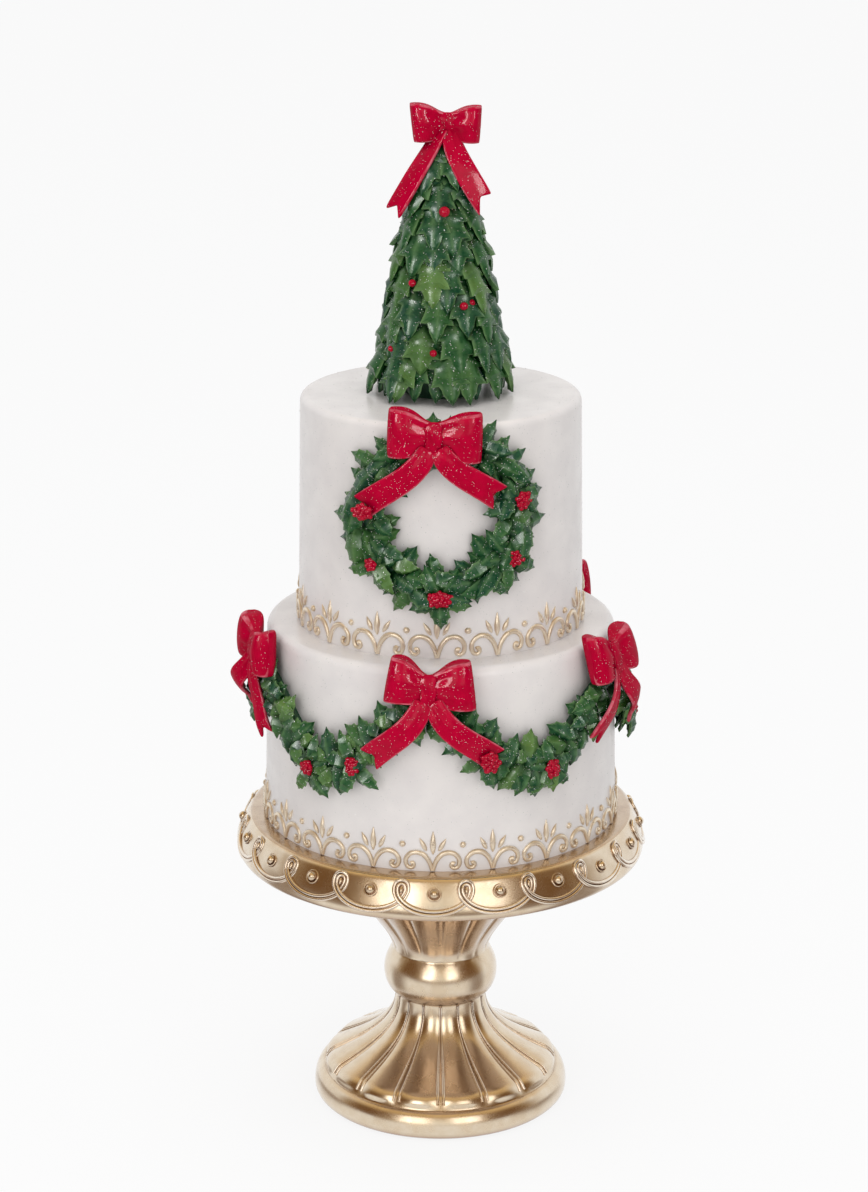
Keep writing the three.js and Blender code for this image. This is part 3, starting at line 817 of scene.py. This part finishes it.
tree_leaves = []
for layer, spacing in ((0, 11.4), (1, 9.0)):
    tip_height = tree_base + 0.4 + 0.3 * layer
    row = 0
    while tip_height < tree_base + tree_height - 13:
        leaves = max(5, round(2 * math.pi * tree_radius(tip_height) / 12.5))
        for number in range(leaves):
            azimuth = 360 * (number + row / 2 % 1) / leaves + chance.uniform(-8, 8)
            drop = chance.uniform(-2.8, 2.8) if row else 0
            length = chance.uniform(19, 23)
            stalk_height = min(tip_height + drop + length, tree_base + tree_height + 1)
            lift = -2.0 if layer else chance.uniform(0.6, 3.0)
            # The sunk layer's leaves get half the tone: painted shade under the front layer.
            tree_leaves.append(tree_leaf(
                azimuth, stalk_height, azimuth + chance.uniform(-9, 9), tip_height + drop,
                chance.uniform(12.5, 15.5) * min(1, 0.5 + tree_radius(tip_height) / 26),
                chance.random() ** 1.3 * (0.5 if layer else 1), lift,
            ))
        tip_height += spacing
        row += 1
finish(joined("tree_leaves", tree_leaves), leaf_paint, "holly", "tree")

core_radius, core_lift = 2.4, 0.7
core_paint, _ = mottled("core_paint", tint(14, 52, 34), tint(28, 74, 48), 300, 1500, 0.5, (0.4, 0.6))
cone = [(0, tree_base + 0.3), (tree_width - 14, tree_base + 0.3)]
for step in range(13):
    height = tree_base + 11 + (tree_height - 21) * step / 12
    cone.append((max(0.5, tree_radius(height) - 4.8), height))
cone.append((0, tree_base + tree_height - 8))
finish(turned("tree_core", cone, 32), core_paint, "holly")

# The berries on the tree: round beads of glossy crimson, each pressed in among the leaves.
berry_paint, shader = mottled(
    "berry_paint", tint(174, 0, 42), tint(152, 0, 34), 500, 2500, 0.15, (0.16, 0.26),
)
coat(shader, 0.5, 0.06, 0.0)

for number in range(1, 13):
    low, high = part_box(f"tree_berry_{number}")
    middle = (low + high) / 2
    radius = (high.z - low.z) / 2 / mm
    bead = ball(f"tree_berry_{number}_bead", radius)
    sunk = Matrix.Translation((0, 0.9 * mm, 0))
    bead.data.transform(outward(middle) @ sunk @ Matrix.Diagonal((0.94, 0.94, 0.88, 1)))
    finish(bead, berry_paint, "berry", f"tree_berry_{number}")

# Ribbon bows: each is two puffed loops, a gathered knot and two forked tails with a real thickness. They are
# glossy crimson enamel, worn paler along the edges, the paler rims partly a painted highlight, with painted
# shade in the creases.
ribbon_paint, tree, shader, mottle = paint("ribbon_paint", 260, 2200, 0.25, (0.12, 0.2))
edge = node(tree, "Attribute", attribute_name="edge").outputs["Fac"]
crimson = mixed(tree, mottle, tint(176, 0, 46), tint(161, 0, 40))
# Paler edges: partly wear, partly a painted highlight along the rims.
wear_and_highlight = mixed(tree, ramp(tree, edge, (0.84, black), (1.0, white)), (0, 0, 0, 1), mottle)
# Painted shade in the creases and under the loops, darker where little light reaches.
crevice_shade = ramp(tree, openness(tree, 0.006), (0.3, (0.4, 0.3, 0.34)), (0.9, white))
enamel = mixed(tree, wear_and_highlight, crimson, tint(204, 104, 118))
tree.links.new(mixed(tree, 1.0, enamel, crevice_shade, "MULTIPLY"), shader.inputs["Base Color"])
coat(shader, 0.2, 0.12, 0.0)

band_columns = 9
ribbon_thickness = 1.6
fork_depth = 4.4


def lofted(name, rows, faces, rims):
    """A piece through rows of points in metres. Its edge attribute marks the rims."""
    mesh = bpy.data.meshes.new(name)
    mesh.from_pydata([point for row in rows for point in row], [], faces)
    edge = mesh.attributes.new("edge", "FLOAT", "POINT")
    edge.data.foreach_set("value", rims * len(rows))
    return added(name, mesh)


def round_off(piece, levels):
    """Rounds the selected piece."""
    rounding = piece.modifiers.new("round", "SUBSURF")
    rounding.levels = levels
    bpy.ops.object.modifier_apply(modifier="round")
    bpy.ops.object.shade_smooth()
    return piece


def band(name, rows):
    """A ribbon through rows of points across it, given its thickness and rounded."""
    columns = len(rows[0])
    faces = []
    for r in range(len(rows) - 1):
        for c in range(columns - 1):
            corner = r * columns + c
            faces.append((corner, corner + 1, corner + columns + 1, corner + columns))
    piece = lofted(name, rows, faces, [abs(2 * c / (columns - 1) - 1) for c in range(columns)])
    thicken(piece, ribbon_thickness * mm, 0)
    return round_off(piece, 2)


def loop_band(name, place, side, reach_top, reach_bottom, top, bottom, gathered):
    """A loop: a puffed double band that swells from the knot to its full width and folds over at its outer
    end, with a groove along its top and bottom between the front and the back band. Where its top and bottom
    are gathered less than fully, it stays wider at the knot."""
    stations = [
        # out along the loop, opening from knot to full width, lift of the front and of the back from the wall
        (0.02, 0.00, 8.0, 5.0), (0.14, 0.12, 8.2, 4.6), (0.26, 0.34, 8.7, 3.8), (0.40, 0.63, 9.6, 2.8),
        (0.56, 0.87, 10.5, 2.2), (0.70, 0.97, 10.7, 2.2), (0.82, 1.00, 10.3, 2.6), (0.91, 1.00, 9.4, 3.2),
        (0.97, 0.98, 8.1, 4.2), (1.00, 0.95, 6.9, 5.3),
    ]
    quarter = [(0, 1), (0.28, 1), (0.56, 1), (0.78, 0.985), (0.92, 0.93), (0.985, 0.78), (1, 0.5), (1, 0.2)]
    half = quarter + [(up, -fore) for up, fore in reversed(quarter)]
    ring = half + [(-up, fore) for up, fore in reversed(half[1:-1])]
    neck_top, neck_bottom = 5.6, -5.4
    rows = []
    for out, opening, front, back in stations:
        crest = neck_top + (top - neck_top) * (1 - (1 - opening) * gathered[0])
        foot = neck_bottom + (bottom - neck_bottom) * (1 - (1 - opening) * gathered[1])
        row = []
        for up, fore in ring:
            share = (up + 1) / 2
            reach = reach_bottom + (reach_top - reach_bottom) * share
            groove = 0.7 * opening * max(0, 1 - (fore / 0.72) ** 2) * (1 if out < 0.95 else 0)
            level = (crest + foot) / 2 + (crest - foot) / 2 * up - math.copysign(groove, up)
            pleats = math.cos((share * 3.4 + 0.15) * math.pi) + 0.6 * math.cos((share * 6.2 + 0.4) * math.pi)
            fold = 0.8 * math.sin(math.pi * min(1, out / 0.66)) ** 1.6 * pleats
            belly = 1.1 * (1 - up * up) * opening
            lift = (front + back) / 2 + (front - back) / 2 * fore
            crumple = 0.35 * (1 - out) ** 2 * math.sin(share * 17 + out * 21)
            lift += (fold + belly + crumple) * max(0, fore)
            row.append(place(side * reach * out, level, lift))
        rows.append(row)
    # The top and bottom rims of the front take the paler edge paint: wear and painted highlight.
    rims = [1.0 if 0.9 < abs(up) and fore > 0.4 else 0.4 for up, fore in ring]
    return tube(name, rows, rims)


def tube(name, rows, rims):
    """A closed body lofted through rings of points, capped at both ends and rounded."""
    count = len(rows[0])
    end = len(rows) * count
    faces = [tuple(range(count)), tuple(range(end - count, end))]
    for r in range(len(rows) - 1):
        for c in range(count):
            across = (c + 1) % count
            faces.append((r * count + c, r * count + across, (r + 1) * count + across, (r + 1) * count + c))
    return round_off(lofted(name, rows, faces, rims), 1)


def tail_band(name, place, path, widths, twist=0.0, skew=0.0):
    """A tail along a path of (u, v, w), with a forked end, one prong of it longer where it is cut askew."""
    count = len(path)
    rows = []
    for number in range(count):
        before = Vector(path[max(number - 1, 0)])
        after = Vector(path[min(number + 1, count - 1)])
        ahead = (after - before).normalized()
        facing = Vector((math.sin(twist), 0, math.cos(twist)))
        across = facing.cross(ahead).normalized()
        cut = {count - 1: 1.0, count - 2: 0.35}.get(number, 0)
        row = []
        for column in range(band_columns):
            share = column / (band_columns - 1) * 2 - 1
            back = cut * fork_depth * (1 - abs(share)) - skew * share * cut
            furrow = 0.25 * math.cos(share * 2.5 * math.pi) * max(0, 1 - number / 3) - 0.4 * share * share
            point = Vector(path[number]) + across * (share * widths[number] / 2) - ahead * back
            row.append(place(point.x, point.y, point.z + furrow))
        rows.append(row)
    return band(name, rows)


def knot_pillow(name, place, half_width, half_height, lift):
    """The gathered middle of a bow."""
    piece = ball(name, 1, 24, 16)
    for vertex in piece.data.vertices:
        across, out, up = vertex.co / mm
        across = math.copysign(abs(across) ** 0.75, across)
        up = math.copysign(abs(up) ** 0.75, up)
        pleat = 1 + 0.22 * math.cos(7.5 * across + 1.4 * up) + 0.16 * math.sin(6 * up + 4 * across)
        pinch = 1 - 0.2 * math.cos(math.pi * up / 2 + 0.3) + 0.09 * math.sin(7 * up + 2 * across)
        vertex.co = place(across * half_width * pinch, up * half_height, lift - out * 1.5 * pleat)
    piece.data.attributes.new("edge", "FLOAT", "POINT")
    return piece


def bow(
    name, place, left, right, tails, node_name, tail_place=None, knot=(4.1, 6.4, 7.9), gathered=(1, 1),
):
    """A whole bow: left and right are each (reach at top, reach at bottom, top, bottom)."""
    parts = [
        loop_band(name + "_left", place, -1, *left, gathered),
        loop_band(name + "_right", place, 1, *right, gathered),
        knot_pillow(name + "_knot", place, *knot),
    ]
    for number, tail in enumerate(tails):
        parts.append(tail_band(f"{name}_tail_{number}", tail_place or place, *tail))
    piece = joined(name, parts)
    bpy.ops.object.mode_set(mode="EDIT")
    bpy.ops.mesh.select_all(action="SELECT")
    bpy.ops.mesh.normals_make_consistent(inside=False)
    bpy.ops.object.mode_set(mode="OBJECT")
    return finish(piece, ribbon_paint, "ribbon", node_name)


def wall_tail(end_u, end_v, arch=3.4, twist=0.0, wide=1.0):
    """The path and widths of a tail that falls from the knot over the leaves to its end, turned by twist."""
    side = math.copysign(1, end_u)
    path = [
        (side * 1.6, -3.4, 8.8),
        (end_u * 0.15, end_v * 0.31, 10.2),
        (end_u * 0.31, end_v * 0.50, 8.2 + arch),
        (end_u * 0.54, end_v * 0.67, 8.0 + arch),
        (end_u * 0.79, end_v * 0.84, 9.2),
        (end_u * 0.93, end_v * 0.95, 8.2),
        (end_u, end_v, 7.7),
    ]
    return path, [width * wide for width in (7.0, 8.8, 9.4, 9.6, 9.9, 10.2, 10.4)], twist


lower_bows = [
    # azimuth, height of the knot, left loop, right loop, lean out at the foot, swell out from the wall
    (-3.6, 199.4, (14.6, 17.4, 12.6, -5.0), (16.4, 18.2, 11.2, -7.6), 0.1, 1.0),
    (61.8, 199.8, (17, 15.6, 11.5, -7.5), (16.5, 18.4, 9.4, -8.2), 0.22, 1.0),
    (139.5, 201.0, (15, 17, 12.5, -6), (17, 18.5, 11.5, -7), 0.05, 1.0),
    (211.5, 202.0, (17, 18.5, 11.5, -7), (15, 17, 12.5, -6), 0.05, 1.0),
    (289.5, 200.4, (15.5, 16, 10.6, -7), (12.4, 13.4, 9.0, -8.8), 0.05, 1.1),
]
lower_tails = [
    # across and up of each end from the knot, then, where unusual, arch, twist and share of the full width
    ((-23.3, -29.0), (26.2, -28.5)),
    ((-16.5, -30.0, 3.0, 0.32, 0.86), (19.0, -29.0, 5.2, 0.0, 0.95)),
    ((-20, -32), (24, -31)),
    ((-23, -31), (19, -33)),
    ((-15, -25, 6.0, 0.4, 0.9), (13, -32.5, 0.8, 0.3, 0.72)),
]
ribbons = []
for number, (azimuth, height, left, right, lean, swell) in enumerate(lower_bows, 1):
    wall = lower_tier.place(azimuth, height)

    def leaning(u, v, w):
        return wall(u, v, w * swell - lean * v)
    tails = [wall_tail(*tail) for tail in lower_tails[number - 1]]
    ribbons.append(bow(f"tier_ribbon_{number}", leaning, left, right, tails, f"tier_bow_{number}", wall))

wreath_knot = upper_tier.place(-2.5, 293)
wreath_tails = [wall_tail(-28.6, -28.6, 1.6), wall_tail(25.3, -23.8, 1.6)]
ribbons.append(bow(
    "wreath_ribbon", wreath_knot, (17.2, 17.8, 11.2, -8.0), (18.4, 17.8, 9.4, -9.8),
    wreath_tails, "wreath_bow",
))


def tree_tail(u, v, w):
    """Places about the knot of the bow that stands on the tree's tip."""
    return Vector((2.2 + u, 5.6 - w, 399.5 + v)) * mm


def tree_knot(u, v, w):
    """Places about the same knot for the loops, which are smaller than those of the other bows."""
    return tree_tail(u * 0.76, v * 0.66, w)


left_tail = [
    (-1.4, -1.0, 7.6), (-4.6, -6.0, 9.4), (-8.0, -11.6, 11.4), (-11.8, -17.6, 12.6), (-15.6, -24.2, 12.8),
    (-18.8, -29.6, 12.6), (-20.9, -33.2, 12.4),
]
right_tail = [
    (0.6, -1.0, 8.0), (1.8, -6.2, 10.2), (4.2, -11.6, 12.4), (7.4, -17.4, 13.8), (10.8, -23.0, 14.4),
    (13.2, -27.0, 14.2), (14.8, -29.6, 14.0),
]
tail_widths = (6.4, 8.0, 8.8, 9.2, 9.2, 9.0, 8.6)
ribbons.append(bow(
    "tree_ribbon", tree_knot, (18.8, 16.6, 12.8, -9.8), (17.6, 16.4, 11.4, -10.4),
    [(left_tail, tail_widths, -0.9), (right_tail, tail_widths, 0.35, -2.6)], "tree_bow", tree_tail,
    (5.4, 7.6, 7.4), (0.8, 0.45),
))

# Berry clusters: a dozen or so tiny crimson beads pressed together where the holly's leaves meet.
bead_pattern = ball("bead_pattern", 1, 10, 7)
golden_angle = math.pi * (3 - math.sqrt(5))
bead = 0.92


def berry_cluster(node_name):
    """Beads spread in a spiral over the box that the cluster's solid fills."""
    low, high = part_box(node_name)
    middle = (low + high) / 2
    azimuth = math.atan2(middle.x, -middle.y)
    half_height = (high.z - low.z) / 2 / mm * 1.08
    reach = max(abs(math.cos(azimuth)), 0.35)
    half_width = min((high.x - low.x) / 2 / mm / reach, half_height * 1.6)
    area = math.pi * half_width * half_height
    count = max(5, round(area / (bead * bead * 3.1)))
    frame_here = outward(middle)
    copies = []
    for number in range(count):
        radius = math.sqrt((number + 0.4) / count)
        angle = number * golden_angle + chance.uniform(-0.25, 0.25)
        across = radius * math.cos(angle) * (half_width - bead * 0.7)
        up = radius * math.sin(angle) * (half_height - bead * 0.7)
        lift = 1.1 * (1 - radius * radius) + chance.uniform(-0.15, 0.25)
        size = bead * chance.uniform(0.88, 1.1)
        at = Matrix.Translation(Vector((across, -lift, up)) * mm) @ Matrix.Scale(size, 4)
        copies.append(placed(bead_pattern, frame_here @ at))
    filling = Matrix.Diagonal((half_width * 0.84, 1.15, half_height * 0.84, 1))
    copies.append(placed(bead_pattern, frame_here @ filling))
    return finish(joined(node_name + "_beads", copies), berry_paint, "berry", node_name)


for number in range(1, 6):
    berry_cluster(f"wreath_berries_{number}")
    for side in (1, 2):
        berry_cluster(f"swag_berries_{number}_{side}")
bpy.data.objects.remove(bead_pattern)

# The wreath: holly leaves glued in a ring on the upper tier, their tips reaching out and in all round, with
# more on top, some of them round the berries.
wreath_middle = 28.2
wreath_bend = upper_tier.bottom_radius + 2.7
wreath_wall = upper_tier.place(-0.3, 262)
ring_steps = 48
ring_turn = 360 / ring_steps


def on_wreath(clock, reach, lift):
    """A point at a clock angle in degrees and a distance from the wreath's middle, as seen from the front."""
    across = reach * math.sin(math.radians(clock))
    turn = math.asin(across / wreath_bend) * upper_tier.spread
    return wreath_wall(turn, reach * math.cos(math.radians(clock)), lift)


def out_of(point, up=0.0):
    """The direction straight out of the wall at a point."""
    return Vector((point.x, point.y, 0)).normalized() + Vector((0, 0, up))


def wreath_tone(clock, left, elsewhere):
    """How light a leaf is painted, with a lighter left side."""
    return chance.random() * (left if 190 < clock < 320 else elsewhere)


edge_leaves = [
    # leaves round the ring, reach of their tips, from tip to stalk, lean of a leaf in degrees
    (29, (37.5, 42.2), (-15.5, -13.5), 9),
    (14, (13.8, 18.0), (12.5, 14.0), 16),
]
wreath_leaves = []
for count, reaches, inward, most_lean in edge_leaves:
    for number in range(count):
        clock = 360 * (number + 0.5 + chance.uniform(-0.22, 0.22)) / count
        reach = chance.uniform(*reaches)
        lean = chance.uniform(-most_lean, most_lean)
        stalk = on_wreath(clock + lean, reach + chance.uniform(*inward), chance.uniform(3.4, 4.6))
        tip = on_wreath(clock, reach, chance.uniform(1.0, 2.2))
        tone = wreath_tone(clock, 0.95, 0.62)
        wreath_leaves.append(leaf_between(oval_leaf, stalk, tip, out_of(tip), chance.uniform(7.6, 9.2), tone))
for step in range(ring_steps):
    clock = step * ring_turn + chance.uniform(-3, 3)
    if 8 < clock < 352:
        heading = 1 if clock < 180 else -1
        side = 1 if step % 2 else -1
        ring = wreath_middle + side * chance.uniform(0, 3.5)
        stalk = on_wreath(clock, ring, 3.8)
        turn = heading * chance.uniform(21, 31)
        tip = on_wreath(clock + turn, ring + side * chance.uniform(1, 6.0), chance.uniform(4.4, 6.4))
        tone = wreath_tone(clock, 1.0, 0.7)
        width = chance.uniform(7.4, 9.4)
        wreath_leaves.append(leaf_between(oval_leaf, stalk, tip, out_of(tip), width, tone, 0.5))


def rosette(place, across, up, leaves, length, start, tone):
    """Leaves that spread from a berry cluster."""
    made = []
    for number in range(leaves):
        angle = start + 2 * math.pi * number / leaves + chance.uniform(-0.2, 0.2)
        reach = length * chance.uniform(0.88, 1.12)
        stalk = place(across + math.sin(angle) * 0.8, up + math.cos(angle) * 0.8, 5.2)
        tip = place(across + math.sin(angle) * reach, up + math.cos(angle) * reach, chance.uniform(3.6, 5.0))
        bright = min(1, tone + chance.uniform(-0.25, 0.3))
        made.append(leaf_between(oval_leaf, stalk, tip, out_of(tip), chance.uniform(7.2, 8.8), bright, 0.4))
    return made


for clock, reach, leaves in ((82, 30, 4), (122, 31.5, 5), (180, 31, 5), (232, 31, 4)):
    across = reach * math.sin(math.radians(clock))
    up = reach * math.cos(math.radians(clock))
    wreath_leaves += rosette(wreath_wall, across, up, leaves, 13.0, chance.uniform(0, 6), 0.5)
finish(joined("wreath_leaves", wreath_leaves), leaf_paint, "holly", "wreath")

ring_lines = []
for ring in (25.2, 28.4, 31.6):
    line = [(on_wreath(step * ring_turn, ring, core_lift), core_radius * mm) for step in range(ring_steps)]
    ring_lines.append(line)
finish(rods("wreath_core", ring_lines, closed=True), core_paint, "holly")

# The swags: five garlands of the same holly that hang round the lower tier from bow to bow, leaves pointing
# out above and below and lying along them, with a rosette round each berry cluster.
swag_low = 164
swag_rise = 24
swag_steps = [step / 60 for step in range(61)]


def swag_height(along):
    """The height of a swag's middle line, highest at its two ends."""
    return swag_low + swag_rise * (1 + math.cos(2 * math.pi * along)) / 2


def on_swag(from_azimuth, span, along, across, lift):
    """A point on a swag, along it from 0 to 1 and across mm up from its middle line, square to it."""
    slope = -swag_rise * math.pi * math.sin(2 * math.pi * along)
    square = Vector((-slope, math.radians(span) * lower_tier.spread)).normalized()
    wall = lower_tier.place(from_azimuth + span * along, swag_height(along))
    return wall(square.x * across, square.y * across, lift)


for number in range(1, 6):
    from_azimuth = lower_bows[number - 1][0]
    to_azimuth = lower_bows[number % 5][0]
    to_azimuth += 360 if to_azimuth < from_azimuth else 0
    span = to_azimuth - from_azimuth
    tips = []
    for side in (-1, 1):
        for step in range(11):
            along = (step + 0.5) / 11 + chance.uniform(-0.015, 0.015)
            reach = chance.uniform(11.2, 14.4) if side < 0 else chance.uniform(12.0, 17.0)
            tips.append((from_azimuth + span * along, swag_height(along) + side * reach))
    leaves = []
    for azimuth, height in tips:
        tip = lower_tier.place(azimuth, height)(0, 0, chance.uniform(1.6, 3.6))
        nearest = min(swag_steps, key=lambda along: (on_swag(from_azimuth, span, along, 0, 2) - tip).length)
        side = 1 if height > swag_height(nearest) else -1
        reach = (on_swag(from_azimuth, span, nearest, 0, 2) - tip).length / mm
        sunk = reach - chance.uniform(14, 16)
        further = min(max(nearest + chance.uniform(-0.05, 0.05), 0), 1)
        stalk = on_swag(from_azimuth, span, further, side * sunk, chance.uniform(4.0, 5.4))
        leaves.append(leaf_between(
            oval_leaf, stalk, tip, out_of(tip), chance.uniform(8.4, 10.2), chance.random() ** 1.2,
        ))
    for step in range(32):
        along = step / 31
        heading = 1 if along < 0.5 else -1
        side = 1 if step % 2 else -1
        stalk = on_swag(from_azimuth, span, along, side * chance.uniform(-1, 2), 4.0)
        slope = swag_rise * math.pi * math.sin(2 * math.pi * along)
        whole = math.hypot(math.radians(span) * lower_tier.spread, slope)
        further = min(max(along + heading * chance.uniform(4, 12) / whole, 0), 1)
        tip = on_swag(from_azimuth, span, further, side * chance.uniform(4.5, 9.5), chance.uniform(3.6, 6.2))
        leaves.append(leaf_between(
            oval_leaf, stalk, tip, out_of(tip), chance.uniform(7.8, 9.4), chance.random() ** 1.2, 0.5,
        ))
    for side in (1, 2):
        low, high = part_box(f"swag_berries_{number}_{side}")
        middle = (low + high) / 2
        azimuth = math.degrees(math.atan2(middle.x, -middle.y))
        hub = lower_tier.place(azimuth, middle.z / mm)
        leaves += rosette(hub, 0, 0, 5, 13.0, chance.uniform(0, 6), 0.5)
    finish(joined(f"swag_{number}_leaves", leaves), leaf_paint, "holly", f"swag_{number}")
    strands = []
    for shift in (-2.4, -0.6, 1.0):
        strand = [on_swag(from_azimuth, span, step / 24, shift, core_lift) for step in range(25)]
        strands.append([(point, core_radius * mm) for point in strand])
    finish(rods(f"swag_{number}_core", strands), core_paint, "holly")
bpy.data.objects.remove(wedge_leaf)
bpy.data.objects.remove(oval_leaf)

# Glitter: clear flakes strewn on the wet paint, thickest on the holly and the ribbons and sparse on the
# white.
flake_paint = bpy.data.materials.new("flake_paint")
flake_paint.use_nodes = True
tree = flake_paint.node_tree
shader = tree.nodes["Principled BSDF"]
place = node(tree, "TexCoord").outputs["Object"]
sparkle = node(tree, "TexNoise", {"Vector": place, "Scale": 900.0, "Detail": 0.0}).outputs["Fac"]
clear = ramp(tree, sparkle, (0.35, tint(206, 212, 206)), (0.65, tint(255, 255, 255)))
tree.links.new(clear, shader.inputs["Base Color"])
shader.inputs["Metallic"].default_value = 0.35
shader.inputs["Roughness"].default_value = 0.22


flake_tilt, flake_lift = 0.28, 0.07


def glitter(name, pieces, count, size, seed, slot, keep=None):
    """Strews flakes over the outer side of pieces, each tilted a little, as one mesh."""
    draw = np.random.default_rng(seed)
    corners, normals = [], []
    for piece in pieces:
        mesh = piece.data
        mesh.calc_loop_triangles()
        points = np.empty(len(mesh.vertices) * 3)
        mesh.vertices.foreach_get("co", points)
        index = np.empty(len(mesh.loop_triangles) * 3, np.int32)
        mesh.loop_triangles.foreach_get("vertices", index)
        facing = np.empty(len(mesh.loop_triangles) * 3)
        mesh.loop_triangles.foreach_get("normal", facing)
        corners.append(points.reshape(-1, 3)[index.reshape(-1, 3)])
        normals.append(facing.reshape(-1, 3))
    corners, normals = np.concatenate(corners), np.concatenate(normals)
    middle = corners.mean(axis=1)
    radial = middle * (1, 1, 0)
    radial /= np.maximum(np.linalg.norm(radial, axis=1, keepdims=True), 1e-9)
    outside = ((normals * radial).sum(axis=1) + 0.6 * normals[:, 2]) > 0.1
    if keep is not None:
        outside &= keep(middle)
    corners, normals = corners[outside], normals[outside]
    area = np.linalg.norm(np.cross(corners[:, 1] - corners[:, 0], corners[:, 2] - corners[:, 0]), axis=1)
    chosen = draw.choice(len(area), count, p=area / area.sum())
    mix = draw.random((count, 2))
    over = mix.sum(axis=1) > 1
    mix[over] = 1 - mix[over]
    base = corners[chosen]
    centre = base[:, 0] + mix[:, :1] * (base[:, 1] - base[:, 0]) + mix[:, 1:] * (base[:, 2] - base[:, 0])
    facing = normals[chosen] + draw.normal(0, flake_tilt, (count, 3))
    facing /= np.linalg.norm(facing, axis=1, keepdims=True)
    centre += normals[chosen] * flake_lift * mm
    side = np.cross(facing, draw.normal(0, 1, (count, 3)))
    side /= np.linalg.norm(side, axis=1, keepdims=True)
    up = np.cross(facing, side)
    radius = size / 2 * mm * draw.uniform(0.6, 1.15, (count, 1))
    angles = np.arange(6) * math.pi / 3
    rim = [centre + radius * (math.cos(a) * side + math.sin(a) * up) for a in angles]
    points = np.stack(rim, axis=1).reshape(-1, 3)
    faces = np.arange(count * 6).reshape(-1, 6)
    mesh = bpy.data.meshes.new(name)
    mesh.from_pydata(points.tolist(), [], faces.tolist())
    return finish(added(name, mesh), flake_paint, slot)


garlands = ["wreath_leaves"] + [f"swag_{number}_leaves" for number in range(1, 6)]
glitter("tree_glitter", [bpy.data.objects["tree_leaves"]], 11000, 0.30, 14, "holly")
glitter("holly_glitter", [bpy.data.objects[name] for name in garlands], 13000, 0.29, 11, "holly")
glitter("ribbon_glitter", ribbons, 3400, 0.22, 12, "ribbon")


def above_scrolls(middle):
    """Whether each face lies on a tier above its scrolls."""
    low_tier = (middle[:, 2] > (lower_tier.base + 16) * mm) & (middle[:, 2] < lower_tier.top * mm)
    high_tier = middle[:, 2] > (upper_tier.base + 17) * mm
    return low_tier | high_tier


glitter("icing_glitter", drums, 9000, 0.30, 13, "icing", above_scrolls)

# The strip lamps only put glints on the enamel and the leaves.
glinting = bpy.data.collections.new("glinting")
for piece in bpy.data.objects:
    if piece.type == "MESH" and piece.data.materials:
        if piece.data.materials[0] in (ribbon_paint, berry_paint, leaf_paint):
            glinting.objects.link(piece)
for strip in strips:
    strip.light_linking.receiver_collection = glinting
